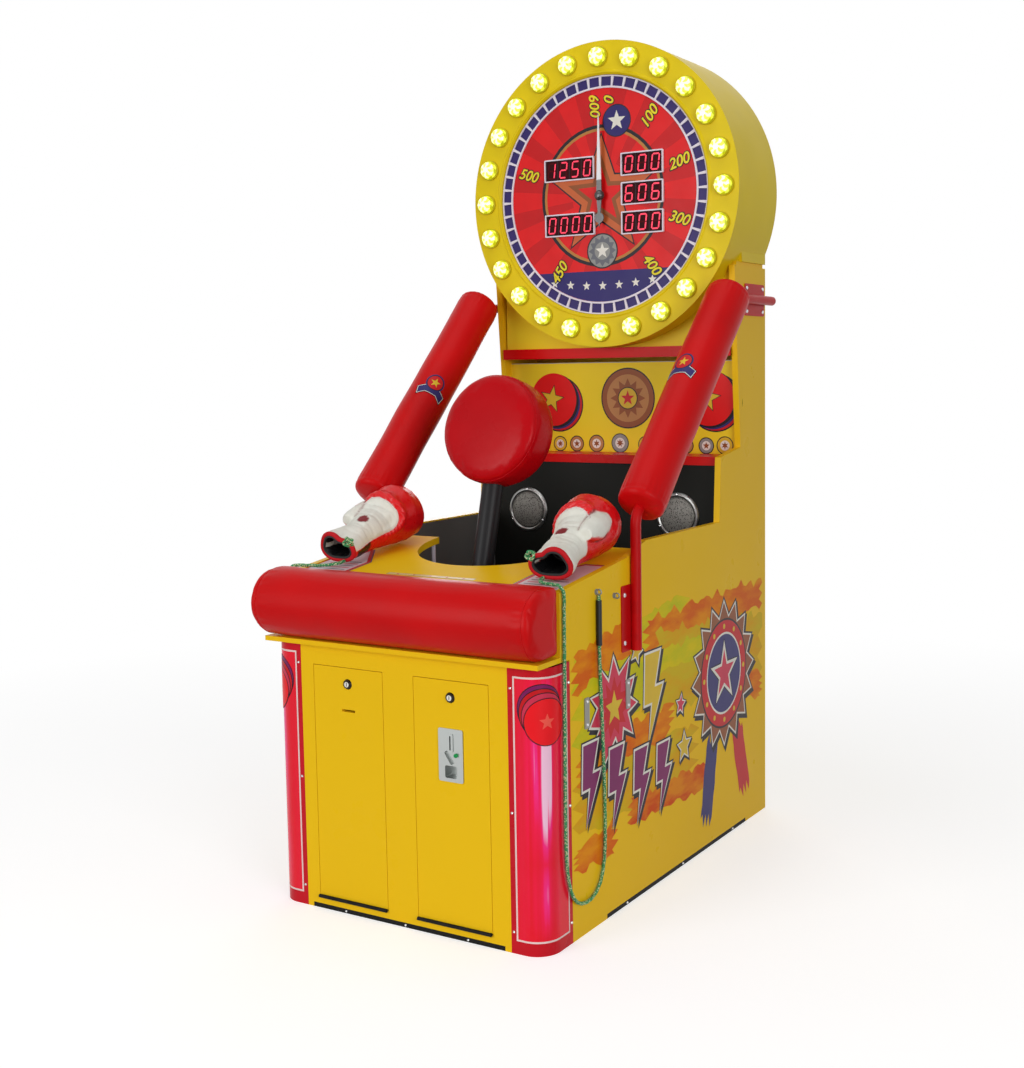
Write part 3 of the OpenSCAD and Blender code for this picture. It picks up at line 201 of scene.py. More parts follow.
class Nodes:
    """A node tree that is built from sockets and numbers."""

    def __init__(self, tree):
        self.tree = tree

    def put(self, node, key, value):
        socket = node.inputs[key]
        if isinstance(value, bpy.types.NodeSocket):
            self.tree.links.new(value, socket)
        else:
            socket.default_value = value

    def node(self, kind, inputs=(), **properties):
        made = self.tree.nodes.new(kind)
        for key, value in properties.items():
            setattr(made, key, value)
        for key, value in dict(inputs).items():
            self.put(made, key, value)
        return made

    def math(self, operation, *values, clamp=False):
        return self.node("ShaderNodeMath", enumerate(values), operation=operation, use_clamp=clamp).outputs[0]

    def mul(self, a, b):
        return self.math("MULTIPLY", a, b)

    def sub(self, a, b, clamp=False):
        return self.math("SUBTRACT", a, b, clamp=clamp)

    def near(self, value, middle, reach):
        """1 where the value lies within reach of the middle, else 0."""
        return self.math("LESS_THAN", self.math("ABSOLUTE", self.sub(value, middle)), reach)

    def step(self, value, edge, soft):
        """0 below the edge and 1 above it, over a soft width."""
        limits = {"Value": value, "From Min": edge - soft / 2, "From Max": edge + soft / 2}
        return self.node("ShaderNodeMapRange", limits, clamp=True).outputs[0]

    def mix(self, factor, a, b):
        return self.node("ShaderNodeMix", {0: factor, 6: a, 7: b}, data_type="RGBA").outputs[2]

    def place(self):
        """Object coordinates: for a CAD node they are the row's metres."""
        return self.node("ShaderNodeTexCoord").outputs["Object"]

    def split(self, vector):
        return self.node("ShaderNodeSeparateXYZ", {0: vector}).outputs

    def stretched(self, scale):
        return self.node("ShaderNodeMapping", {"Vector": self.place(), "Scale": scale}).outputs[0]

    def noise(self, scale, detail=3.0, rough=0.5, vector=None):
        inputs = {"Vector": vector or self.place(), "Scale": scale, "Detail": detail, "Roughness": rough}
        return self.node("ShaderNodeTexNoise", inputs).outputs["Fac"]

    def cells(self, scale):
        return self.node("ShaderNodeTexVoronoi", {"Vector": self.place(), "Scale": scale}).outputs["Distance"]

    def ramp(self, factor, stops):
        made = self.node("ShaderNodeValToRGB", {"Fac": factor})
        ramp = made.color_ramp
        while len(ramp.elements) < len(stops):
            ramp.elements.new(0.5)
        for element, (at, color) in zip(ramp.elements, stops):
            element.position = at
            element.color = color
        return made.outputs["Color"]

    def seen(self):
        """1 for what the camera sees directly, in gloss or through glass, and 0 for other light."""
        rays = self.node("ShaderNodeLightPath").outputs
        shiny = self.math("MAXIMUM", rays["Is Glossy Ray"], rays["Is Transmission Ray"])
        return self.math("MAXIMUM", rays["Is Camera Ray"], shiny)

    def varied(self, color, amount, scale):
        """The colour with slow, faint changes over the surface."""
        spread = self.step(self.noise(scale, 2), 0.5, 0.5)
        return self.mix(spread, shade(color, 1 - amount), shade(color, 1 + amount))


class Shader(Nodes):
    """A material of one Principled shader; its values come by name."""

    def __init__(self, name, color=None, **values):
        self.material = bpy.data.materials.new(name)
        self.material.use_nodes = True
        super().__init__(self.material.node_tree)
        self.bsdf = self.tree.nodes["Principled BSDF"]
        if color is not None:
            self.out("Base Color", color)
            self.material.diffuse_color = color
        for key, value in values.items():
            self.out(key.replace("_", " "), value)

    def out(self, key, value):
        self.put(self.bsdf, key, value)

    def bump(self, height, distance, strength, under=None):
        """A bump on the surface, or on top of the bump under it."""
        inputs = {"Height": height, "Distance": distance, "Strength": strength}
        if under is not None:
            inputs["Normal"] = under
        normal = self.node("ShaderNodeBump", inputs).outputs[0]
        self.out("Normal", normal)
        return normal

    def grain(self, scale, detail, distance, strength, under=None):
        """A bump of noise."""
        return self.bump(self.noise(scale, detail), distance, strength, under)

    def rough(self, base, amount, scale, detail):
        """Roughness from the base upwards by a noisy amount."""
        self.out("Roughness", self.math("MULTIPLY_ADD", self.noise(scale, detail), amount, base))


def shade(color, factor):
    return tuple(min(1.0, c * factor) for c in color[:3]) + (1.0,)


def finish(name, color, specular, mottle, rough, grain):
    """The usual surface: cloudy colour, uneven gloss and a fine bump."""
    s = Shader(name, color, Specular_IOR_Level=specular)
    s.tone = s.varied(color, *mottle)
    s.out("Base Color", s.tone)
    s.rough(*rough)
    s.grain(*grain)
    return s


def board(name, color, rough=0.3, gloss=0.06):
    """Gloss laminate on board: faint cloudiness and orange peel."""
    return finish(name, color, gloss, (0.015, 2), (rough - 0.08, 0.16, 9, 4), (160, 2, 0.0002, 0.35))


def hinged_board(name, color, hinge):
    """Laminate that turns black past each (axis, side, edge), where the node is its hinge half."""
    s = board(name, color)
    tone = s.tone
    for axis, side, edge in hinge:
        past = s.math("GREATER_THAN", s.mul(s.split(s.place())[axis], side), side * edge)
        tone = s.mix(past, tone, HINGE_BLACK)
    s.out("Base Color", tone)
    return s


def liner_laminate():
    """Black laminate of the well; its side walls carry a painted grey sheen, a painted reflection in slow
    patches.
    """
    s = board("black_laminate", LINER_BLACK, 0.36, 0.6)
    # Painted sheen: walls that face sideways are lightened to grey in slow patches, as a reflection would light
    # them
    across = s.math("ABSOLUTE", s.split(s.node("ShaderNodeNewGeometry").outputs["Normal"])[0])
    patchy = s.math("MULTIPLY_ADD", s.noise(3, 4), 0.5, 0.75)
    painted_sheen = s.math("MULTIPLY", s.step(across, 0.7, 0.2), patchy, clamp=True)
    s.out("Base Color", s.mix(painted_sheen, LINER_BLACK, srgb(104, 104, 102)))
    return s


def plastic(name, color, rough=0.28):
    return finish(name, color, 0.1, (0.04, 5), (rough - 0.06, 0.12, 14, 3), (90, 2, 0.0002, 0.4))


def rubber(name, color):
    return finish(name, color, 0.5, (0.15, 20), (0.65, 0.2, 40, 4), (500, 3, 0.0002, 0.5))


def painted_metal(name, color, rough=0.35):
    """Paint on steel, with a paler tone on sharp outer edges, broken up by noise."""
    s = finish(name, color, 0.13, (0.04, 8), (rough - 0.1, 0.2, 20, 4), (220, 3, 0.00015, 0.4))
    edge = s.step(s.node("ShaderNodeNewGeometry").outputs["Pointiness"], 0.62, 0.04)
    patchy = s.mul(edge, s.step(s.noise(30, 4), 0.5, 0.2))
    s.out("Base Color", s.mix(s.mul(patchy, 0.5), s.tone, shade(color, 1.35)))
    return s


def metal(name, color, rough=0.3):
    """Brushed or cast metal with a directional grain."""
    s = Shader(name, color, Metallic=1.0)
    streaks = s.noise(60, 3, 0.6, s.stretched((1, 1, 60)))
    s.out("Base Color", s.mix(s.mul(streaks, 0.35), color, shade(color, 0.7)))
    s.out("Roughness", s.math("MULTIPLY_ADD", streaks, 0.25, rough - 0.12))
    s.bump(streaks, 0.0001, 0.3)
    return s


def vinyl(name, color, rough=0.36):
    """Upholstery vinyl: fine pebbled grain, soft sheen and slow tone changes."""
    s = Shader(name, color, Specular_IOR_Level=0.1)
    s.out("Base Color", s.varied(color, 0.07, 6))
    s.rough(rough - 0.09, 0.18, 12, 4)
    s.grain(35, 3, 0.0012, 0.25, under=s.bump(s.cells(420), 0.0003, 0.25))
    return s


# Finishes of the CAD nodes that stay in view

YELLOW = srgb(246, 199, 26)
HINGE_BLACK = srgb(26, 26, 26)
LINER_BLACK = srgb(40, 40, 42)


def dress(shader, *names):
    """Gives CAD nodes a finish in place of their plain one."""
    for name in names:
        for slot in nodes[name].material_slots:
            slot.material = shader.material


def dress_cabinet():
    dress(board("yellow_laminate", YELLOW), "side_panel_left", "side_panel_right", "front_panel",
          "bolster_boards", "column_top", "rear_panel")
    dress(board("counter_laminate", YELLOW, 0.5, 0.03), "counter_top")
    front_hinge = ((1, -1, FRONT_Y - 0.0003), (2, -1, DOOR_Z))
    dress(hinged_board("door_laminate", YELLOW, front_hinge), "door_left", "door_right")
    rear_hinge = ((1, 1, BACK_Y + 0.0003), (0, 1, REAR_DOOR_EDGE))
    dress(hinged_board("rear_door_laminate", YELLOW, rear_hinge), "rear_door")
    # Painted light: the header and the graphic panel get a paler yellow than the boards, to make up for the
    # shade under the head
    dress(board("panel_yellow_painted_light", srgb(250, 222, 50)), "header_panel", "graphic_panel")
    dress(liner_laminate(), "well_liner")
    dress(board("black_panel", srgb(27, 28, 25), 0.42, 0.1), "speaker_panel")
    dress(board("raw_board", srgb(84, 76, 66), 0.7), "base_board")
    dress(plastic("black_strip", srgb(26, 26, 26), 0.5), "skid_strips", "arm_sensor", "power_inlet",
          "door_hinges")
    dress(plastic("corner_print", srgb(204, 26, 40)), "corner_panel_left", "corner_panel_right")
    dress(plastic("head_paint", srgb(234, 205, 20), 0.34), "drum_housing", "bulb_ring")
    dress(plastic("holder_plastic", srgb(206, 190, 30)), "bulb_holders")
    dress(plastic("dial_print", srgb(226, 24, 26)), "dial_face")
    dress(plastic("window_frame", srgb(236, 228, 240)), "segment_ring", "score_displays", "counter_posts")
    dress(plastic("strip_red", srgb(218, 16, 16)), "trim_strips")
    dress(plastic("board_green", srgb(52, 96, 62), 0.5), "electronics_tray")
    dress(plastic("button_green", srgb(30, 150, 80)), "coin_button")
    dress(plastic("switch_red", srgb(186, 20, 22)), "rocker_switch")
    dress(painted_metal("red_paint", srgb(194, 14, 18)), "guard_bar_left", "guard_bar_right")
    dress(painted_metal("black_paint", srgb(36, 36, 38)), "pivot_frame", "punch_arm")
    dress(painted_metal("grey_paint", srgb(120, 122, 124)), "cash_box", "latch_solenoid")
    dress(metal("bright_steel", srgb(205, 206, 208), 0.22), "latch_bolt", "return_spring", "panel_screws",
          "rear_lock", "pointer_motor")
    dress(metal("cast_iron", srgb(110, 112, 114), 0.5), "bearing_blocks")
    dress(metal("coin_steel", srgb(176, 180, 178), 0.34), "coin_acceptor")
    dress(metal("grille_steel", srgb(146, 146, 144), 0.3), "speakers")
    dress(rubber("stop_rubber", srgb(28, 28, 28)), "stop_bumpers")


def dress_lock(name, x, z):
    """A dark lock face with a key slot, and a painted highlight: a bright disc in its middle."""
    s = Shader(name + "_metal", Metallic=0.85)
    axes = s.split(s.place())
    dx, dz = s.sub(axes[0], x), s.sub(axes[2], z)
    r = s.math("SQRT", s.math("ADD", s.mul(dx, dx), s.mul(dz, dz)))
    slot = s.mul(s.near(axes[0], x, 0.0011), s.near(axes[2], z, 0.0045))
    dark = s.math("MAXIMUM", s.step(r, 0.0068, 0.0008), slot)
    # Painted highlight: bright steel inside the dark rim, broken by the dark key slot
    s.out("Base Color", s.mix(dark, srgb(214, 212, 204), srgb(44, 40, 34)))
    s.rough(0.15, 0.2, 80, 3)
    s.grain(300, 2, 0.0001, 0.3)
    dress(s, name)


def dress_fittings():
    """Plated screws and brackets on the sides; the sleeve on the rope is black."""
    s = Shader("fitting_mix", Metallic=0.4)
    axes = s.split(s.place())
    dark = s.mul(s.near(axes[1], y_of(0.246), 0.014), s.math("LESS_THAN", axes[2], 0.806))
    s.out("Base Color", s.mix(dark, srgb(150, 148, 142), srgb(28, 30, 32)))
    s.rough(0.35, 0.25, 60, 3)
    s.grain(400, 3, 0.0002, 0.5)
    dress(s, "side_fittings")


def dress_pointer():
    """White blade above the hub; the hub and the tail are dark."""
    s = Shader("pointer_paint", Coat_Weight=0.3, Coat_Roughness=0.1)
    height = s.math("ADD", s.split(s.place())[2], s.mul(s.noise(40, 2), 0.002))
    s.out("Base Color", s.mix(s.step(height, DIAL_Z + 0.046, 0.004), srgb(52, 50, 52), srgb(226, 226, 228)))
    s.rough(0.2, 0.2, 60, 3)
    s.grain(90, 2, 0.0001, 0.3)
    dress(s, "pointer")


dress_cabinet()
for lock_name, lock_at in LOCKS.items():
    dress_lock(lock_name, *lock_at)
dress_fittings()
dress_pointer()


# Ropes: the routes are those of the part. A rope starts at its glove, as x, depth and height, and then
# hangs beside the cabinet, as depth and height.

ROPE_R, ROPE_LAY, ROPE_SIDES = 0.0045, 0.028, 15
ROPE_OUT = 0.008
ROPE_DROP = [
    (0.084, 0.836), (0.083, 0.800), (0.082, 0.700), (0.080, 0.560), (0.078, 0.420), (0.077, 0.300),
    (0.078, 0.235), (0.083, 0.185), (0.094, 0.143), (0.111, 0.112), (0.134, 0.093), (0.162, 0.084),
    (0.190, 0.084), (0.216, 0.093), (0.238, 0.112), (0.252, 0.140), (0.261, 0.180), (0.264, 0.230),
    (0.264, 0.310), (0.260, 0.420), (0.254, 0.530), (0.248, 0.630), (0.246, 0.690), (0.246, 0.745),
    (0.246, 0.8129),
]
RIGHT_START = [(0.317, 0.151, 0.862), (0.319, 0.135, 0.859), (0.331, 0.118, 0.857), (0.354, 0.104, 0.857),
               (0.380, 0.093, 0.858), (0.399, 0.086, 0.857), (0.409, 0.084, 0.848)]
LEFT_START = [(0.299, 0.169, 0.864), (0.302, 0.152, 0.861), (0.316, 0.132, 0.858), (0.342, 0.112, 0.857),
              (0.374, 0.096, 0.858), (0.398, 0.087, 0.857), (0.409, 0.084, 0.848)]


def smooth_line(points, spacing):
    """Points at an even spacing on a smooth line through the given ones."""
    ends = [2 * points[0] - points[1]] + points + [2 * points[-1] - points[-2]]
    fine = []
    for p0, p1, p2, p3 in zip(ends, ends[1:], ends[2:], ends[3:]):
        count = max(2, int((p2 - p1).length / spacing * 3))
        for t in (k / count for k in range(count)):
            fine.append(0.5 * (2 * p1 + (p2 - p0) * t + (2 * p0 - 5 * p1 + 4 * p2 - p3) * t * t
                               + (3 * p1 - p0 - 3 * p2 + p3) * t ** 3))
    fine.append(points[-1])
    line, gone = [fine[0]], 0.0
    for a, b in zip(fine, fine[1:]):
        gone += (b - a).length
        if gone >= spacing:
            line.append(b)
            gone = 0.0
    return line


def rope_material():
    s = Shader("rope_fibre", srgb(40, 140, 84), Roughness=0.75)
    fleck = s.step(s.cells(230), 0.42, 0.12)
    tone = s.mix(fleck, srgb(216, 228, 178), srgb(52, 150, 92))
    s.out("Base Color", s.mix(s.mul(s.step(s.noise(900, 2), 0.55, 0.2), 0.6), tone, srgb(24, 92, 56)))
    s.grain(1500, 2, 0.0004, 0.7)
    return s.material


ROPE_MATERIAL = rope_material()


def make_rope(start, side, end):
    """A laid rope of three strands that hangs in a loop beside the cabinet."""
    route = start + [(HALF_W + ROPE_OUT, depth, z) for depth, z in ROPE_DROP]
    points = [Vector((side * x, y_of(depth), z)) for x, depth, z in route]
    line = smooth_line(points, 0.0022)
    gone = [0.0]
    for a, b in zip(line, line[1:]):
        gone.append(gone[-1] + (b - a).length)
    rings = []
    for along, (point, u, v) in zip(gone, frames_along(line, side=(0.2, 0.1, 1))):
        ring = []
        for k, (c, s) in enumerate(circle(ROPE_SIDES)):
            strands = abs(cos(1.5 * tau * (k / ROPE_SIDES - along / ROPE_LAY / 3)))
            ring.append(point + ROPE_R * (0.80 + 0.20 * strands) * (c * u + s * v))
        rings.append(ring)
    rope = rides(ring_mesh("rope_line_" + end, rings), "cabinet", ROPE_MATERIAL)
    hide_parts("rope_" + end)


for rope_start, (rope_side, rope_end) in zip((RIGHT_START, LEFT_START), SIDES):
    make_rope(rope_start, rope_side, rope_end)


# Soft goods: a closed start shape is remeshed, puffed up as cloth and then sewn

VOXEL = 0.006
PRESSURE = 4
LAST_FRAME = 20


def remeshed(obj, voxel=VOXEL):
    remesh = obj.modifiers.new("remesh", "REMESH")
    remesh.mode = "VOXEL"
    remesh.voxel_size = voxel
    graph = bpy.context.evaluated_depsgraph_get()
    mesh = bpy.data.meshes.new_from_object(obj.evaluated_get(graph))
    obj.modifiers.clear()
    obj.data = mesh
    return obj


def coords(mesh, what="co"):
    """The mesh's points, or with "normal" their normals."""
    flat = [0.0] * (3 * len(mesh.vertices))
    mesh.vertices.foreach_get(what, flat)
    return [Vector(flat[i:i + 3]) for i in range(0, len(flat), 3)]


def set_coords(mesh, points):
    mesh.vertices.foreach_set("co", [c for p in points for c in p])
    mesh.update()


def pushed(obj, amount):
    """Moves each point along its normal by amount(point, normal)."""
    mesh = obj.data
    set_coords(mesh, [p + n * amount(p, n) for p, n in zip(coords(mesh), coords(mesh, "normal"))])


def puffed(obj, cap):
    """Swells the mesh as pressurised cloth; no point moves further than the cap."""
    start = coords(obj.data)
    cloth = obj.modifiers.new("cloth", "CLOTH")
    settings = cloth.settings
    settings.quality = 4
    settings.mass = 0.3
    settings.tension_stiffness = settings.compression_stiffness = 15
    settings.bending_stiffness = 0.5
    settings.use_pressure = True
    settings.uniform_pressure_force = PRESSURE
    settings.effector_weights.gravity = 0
    cloth.point_cache.frame_start = 1
    cloth.point_cache.frame_end = LAST_FRAME
    for number in range(1, LAST_FRAME + 1):
        bpy.context.scene.frame_set(number)
    graph = bpy.context.evaluated_depsgraph_get()
    ended = coords(obj.evaluated_get(graph).to_mesh())
    obj.modifiers.clear()
    moves = [b - a for a, b in zip(start, ended)]
    set_coords(obj.data, [a + move * min(1.0, cap / max(move.length, 1e-6)) for a, move in zip(start, moves)])
    bpy.context.scene.frame_set(1)


def finished_soft(obj, material, body, replaced):
    painted(obj, material)
    obj.data.polygons.foreach_set("use_smooth", [True] * len(obj.data.polygons))
    finer = obj.modifiers.new("finer", "SUBSURF")
    finer.levels = finer.render_levels = 1
    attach(obj, body)
    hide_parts(replaced)


def eased(obj):
    """Takes small wrinkles out of a swollen skin, in three rounds."""
    bm = bmesh.new()
    bm.from_mesh(obj.data)
    for _ in range(3):
        bmesh.ops.smooth_vert(bm, verts=bm.verts[:], factor=0.5,
                              use_axis_x=True, use_axis_y=True, use_axis_z=True)
    bm.to_mesh(obj.data)
    bm.free()


def skin_of(obj):
    """The object's own mesh as a tree that rays can meet."""
    return BVHTree.FromPolygons(coords(obj.data), [tuple(face.vertices) for face in obj.data.polygons])


def landed(skin, start, target, lift=0.0003):
    """Where a ray from start towards target meets the skin, held a little off it."""
    toward = (target - start).normalized()
    place = skin.ray_cast(start, toward)[0]
    return (place or target) - toward * lift


def welt(name, skin, core, outline, reach, closed=False):
    """A welt on the skin, where rays from outside an outline towards its core meet it."""
    line = [landed(skin, core + (p - core) * reach, core) for p in outline]
    return tube_along(name, line, WELT_R, closed=closed)


def hill(distance, width):
    """1 at no distance, and gone at a few widths."""
    return exp(-min(abs(distance / width), 4) ** 2)


WELT_R = 0.0012
RED_SKIN = vinyl("red_vinyl", srgb(206, 14, 17)).material
PUNCH_SKIN = vinyl("punch_vinyl", srgb(190, 6, 18), 0.28).material

BOLSTER_OUT, BOLSTER_H, BOLSTER_BACK, BOLSTER_Z = 0.075, 0.174, 0.0755, 0.692
BOLSTER_HALF = HALF_W + 0.007
BOLSTER_CORNER = 0.012
BOLSTER_SEAM = 0.020


def bolster_section(inset):
    """The bolster's outline as depth and height: a round front, a crowned top, a flat back and base."""
    radius, corner = BOLSTER_H / 2, BOLSTER_CORNER
    mid, inner = radius - BOLSTER_OUT, BOLSTER_BACK - corner - inset
    low, high = inset + corner, BOLSTER_H - inset - corner
    ring = arc(mid, radius, radius - inset, range(-90, -271, -6))
    ring += [(mid + (inner - mid) * k / 8, high + corner + 0.0025 * sin(pi * k / 8)) for k in range(1, 9)]
    ring += arc(inner, high, corner, (70, 45, 20, 0))
    ring += [(inner + corner, high + (low - high) * k / 8) for k in range(1, 8)]
    ring += arc(inner, low, corner, (0, -30, -60, -90))
    return ring + [(inner + (mid - inner) * k / 8, inset) for k in range(1, 8)]


def make_bolster():
    """The front bolster: a long foam cushion with a round front and sewn ends."""
    length, shrink, rounding = BOLSTER_HALF, 0.004, 0.024
    edge = [(0.0, 0.013), (0.0012, 0.0085), (0.004, 0.0048), (0.0085, 0.0020), (0.014, 0.0008),
            (rounding, 0.0)]
    stations = [(-length + a, b) for a, b in edge]
    stations += [(-length + rounding + 2 * (length - rounding) * k / 80, 0.0) for k in range(1, 80)]
    stations += [(length - a, b) for a, b in reversed(edge)]
    rings = [[Vector((x, y_of(d), BOLSTER_Z + z)) for d, z in bolster_section(inset + shrink)]
             for x, inset in stations]
    pad = remeshed(ring_skin(rings, "bolster_cushion"))
    puffed(pad, 0.0045)

    def sewn(p, n):
        if n.z <= -0.6 or n.y >= 0.6:
            return 0.0
        valley = -0.0016 * hill(length - BOLSTER_SEAM - abs(p.x), 0.005)
        gathers = 0.0007 * sin((p.z + p.y * 0.6) * 240 + 3 * noise.noise(p * 20))
        gathers *= exp(-((length - 0.032 - abs(p.x)) / 0.018) ** 2)
        return valley + gathers + 0.0012 * noise.noise(Vector((p.x * 5, p.y * 11, p.z * 11)))

    pushed(pad, sewn)
    limit, back, base = HALF_W + 0.008, y_of(BOLSTER_BACK), BOLSTER_Z + 0.0005
    set_coords(pad.data, [Vector((max(-limit, min(limit, p.x)), min(p.y, back), max(p.z, base)))
                          for p in coords(pad.data)])
    finished_soft(pad, RED_SKIN, "cabinet", "bolster_pad")
    skin, seams = skin_of(pad), []
    for side in (-1, 1):
        x = side * (length - BOLSTER_SEAM)
        core = Vector((x, y_of(BOLSTER_H / 2 - BOLSTER_OUT), BOLSTER_Z + BOLSTER_H / 2))
        outline = [Vector((x, y_of(d), BOLSTER_Z + z)) for d, z in bolster_section(0.0)[2:46]]
        seams.append(welt("welt", skin, core, outline, 1.4))
    rides(joined("bolster_welts", seams), "cabinet", RED_SKIN)


make_bolster()


PAD_LEAN = radians(45)
PAD_START = Vector((0.4195, y_of(0.425 + 0.026 * cos(PAD_LEAN)), 0.985 + 0.026 * sin(PAD_LEAN)))
PAD_ALONG = Vector((0, cos(PAD_LEAN), sin(PAD_LEAN)))
PAD_UP = Vector((0, -sin(PAD_LEAN), cos(PAD_LEAN)))
PAD_R, PAD_LEN = 0.0655, 0.787


def pad_point(s, u, v):
    """A place by its distance along the right guard pad, across it and above it."""
    return PAD_START + PAD_ALONG * s + Vector((u, 0, 0)) + PAD_UP * v


def make_guard_pads():
    """Foam sleeves on the leaning tubes, wrapped in vinyl with sewn end caps; the skins are returned."""
    e, small = 0.016, 0.0035
    r0 = PAD_R - small
    span = PAD_LEN - 2 * small - 2 * e
    profile = [(small, r0 - e)]
    profile += arc(small + e, r0 - e, e, range(165, 89, -15))
    profile += [(small + e + span * k / 90, r0) for k in range(1, 90)]
    profile += arc(PAD_LEN - small - e, r0 - e, e, range(90, -1, -15))
    rings = [[pad_point(s, r * c, r * t) for c, t in circle(64)] for s, r in profile]
    pad = remeshed(ring_skin(rings, "guard_cushion_right"))
    puffed(pad, 0.004)

    def local(p):
        q = p - PAD_START
        return q.dot(PAD_ALONG), q.x, q.dot(PAD_UP)

    def sewn(p, n):
        s, u, v = local(p)
        angle = atan2(u, v)
        valley = -0.0013 * hill(min(abs(s - 0.024), abs(s - PAD_LEN + 0.024)), 0.0045)
        near = exp(-((min(s, PAD_LEN - s) - 0.036) / 0.02) ** 2)
        gathers = 0.0007 * near * sin(angle * 26 + 2 * noise.noise(p * 15))
        slack = 0.0016 * noise.noise(Vector((s * 7, u * 9, v * 9)))
        return valley + gathers + slack - 0.0016 * hill((angle - 2.6) * PAD_R, 0.004)

    pushed(pad, sewn)
    fixed = []
    for p in coords(pad.data):
        s, u, v = local(p)
        k = min(1, PAD_R / max(hypot(u, v), 1e-6))
        fixed.append(pad_point(max(0.0, min(PAD_LEN, s)), u * k, v * k))
    set_coords(pad.data, fixed)
    pad_left = linked("guard_cushion_left", pad.data.copy())
    pad_left.data.transform(Matrix.Scale(-1, 4, (1, 0, 0)))
    pad_left.data.flip_normals()
    finished_soft(pad, RED_SKIN, "cabinet", "guard_pad_right")
    finished_soft(pad_left, RED_SKIN, "cabinet", "guard_pad_left")
    return skin_of(pad), skin_of(pad_left)


GUARD_SKINS = make_guard_pads()


PIVOT = Vector((0, y_of(0.342), 0.760))
ARM_TILT = Matrix.Rotation(radians(-15), 3, "X")
PUNCH_R, PUNCH_DEPTH, PUNCH_FACE, PUNCH_REACH = 0.150, 0.130, 0.073, 0.445
PUNCH_SEAM = 0.104


def punch_point(x, s, z):
    """A place by its distance across the target, behind its face and above its middle."""
    return PIVOT + ARM_TILT @ Vector((x, PUNCH_DEPTH - PUNCH_FACE - s, PUNCH_REACH + z))


def make_punch_pad():
    """The target: a thick round foam disc in vinyl, crowned in front, with a welted rim."""
    radius, depth, e, small = PUNCH_R, PUNCH_DEPTH, 0.022, 0.004
    profile = [(0.0, 0.02), (0.0, 0.06), (0.0, 0.10), (0.001, radius - 0.020), (0.004, radius - 0.009),
               (0.010, radius - 0.0035), (0.020, radius - 0.001), (0.040, radius), (0.065, radius),
               (0.090, radius), (depth - 0.005 - e, radius)]
    profile += arc(depth - 0.006 - e, radius - e, e, (72, 54, 36, 18, 0))
    profile += [(depth - 0.0045, 0.110), (depth - 0.0020, 0.080), (depth - 0.0008, 0.045), (depth, 0.012)]
    rings = []
    for s, r in profile:
        s, r = small + s * (depth - 2 * small) / depth, r - (small if r > 0.13 else 0)
        rings.append([punch_point(r * c, s, r * t) for c, t in circle(96)])
    pad = remeshed(ring_skin(rings, "punch_cushion"))
    puffed(pad, 0.003)
    eased(pad)
    turn_back = ARM_TILT.inverted()

    def local(p):
        q = turn_back @ (p - PIVOT)
        return q.x, PUNCH_DEPTH - PUNCH_FACE - q.y, q.z - PUNCH_REACH

    def sewn(p, n):
        x, s, z = local(p)
        valley = -0.0016 * hill(s - PUNCH_SEAM, 0.004) if hypot(x, z) > 0.12 else 0
        return valley + 0.0010 * noise.noise(Vector((x * 7, s * 5, z * 7)))

    pushed(pad, sewn)
    fixed = []
    for p in coords(pad.data):
        x, s, z = local(p)
        k = min(1, radius / max(hypot(x, z), 1e-6))
        fixed.append(punch_point(x * k, max(0.0, min(depth, s)), z * k))
    set_coords(pad.data, fixed)
    finished_soft(pad, PUNCH_SKIN, "punch_arm", "punch_pad")
    rim = [punch_point(radius * c, PUNCH_SEAM, radius * t) for c, t in circle(200)]
    seam = welt("punch_welt", skin_of(pad), punch_point(0, PUNCH_SEAM, 0), rim, 1.3, closed=True)
    rides(seam, "punch_arm", PUNCH_SKIN)


make_punch_pad()


# Gloves: the CAD forms are remeshed and puffed up, then sewn in each glove's own frame, in mm.
# There x is across, y runs from the cuff to the fist and z is up; the thumb is on the -x side.
# Rings are distance, half width, half thickness and rise; the thumb's are distance, radius and rise

GLOVE_RINGS = [(0, 58, 43, 0), (33, 56, 42, 0), (78, 52, 40, 2), (118, 56, 45, 7), (162, 68, 58, 14),
               (205, 77, 71, 20), (245, 79, 79, 22), (282, 70, 71, 17), (306, 50, 52, 9), (320, 24, 26, 4)]
GLOVE_THUMB = [(104, 17, 0), (124, 24, 0), (158, 29, 2), (192, 30, 4), (220, 24, 3), (236, 10, 2)]
THUMB_X, THUMB_Z = -52, 40
GLOVE_TILT = 11
GLOVE_VOXEL = 0.0045
GLOVE_SWELL = 3.5
GATHER_PITCH = 15
CUFF_X, CUFF_Z, CUFF_DEEP = 46, 33, 107

# The white palm: its middle, half its level tip and its round corners, in degrees of the section;
# where the corners begin, and their length; the folds across it, each a distance and a depth
PALM_MIDDLE, PALM_FLAT, PALM_BEND = 57, 30, 37
PALM_LOW, PALM_HIGH = PALM_MIDDLE - PALM_FLAT - PALM_BEND, PALM_MIDDLE + PALM_FLAT + PALM_BEND
PALM_SHOULDER, PALM_TIP = 142, 40
PALM_FOLDS = ((44, 1.2), (68, 1.8), (92, 1.2), (124, 2.4), (146, 1.6), (168, 2.6), (194, 1.8), (216, 1.3))


def between(rows, s):
    """The row of numbers at a distance, read between the two nearest ones."""
    if s <= rows[0][0]:
        return rows[0][1:]
    for a, b in zip(rows, rows[1:]):
        if s <= b[0]:
            t = (s - a[0]) / (b[0] - a[0])
            return tuple(x + (y - x) * t for x, y in zip(a[1:], b[1:]))
    return rows[-1][1:]


def smooth(x, low, high):
    t = max(0.0, min(1.0, (x - low) / (high - low)))
    return t * t * (3 - 2 * t)


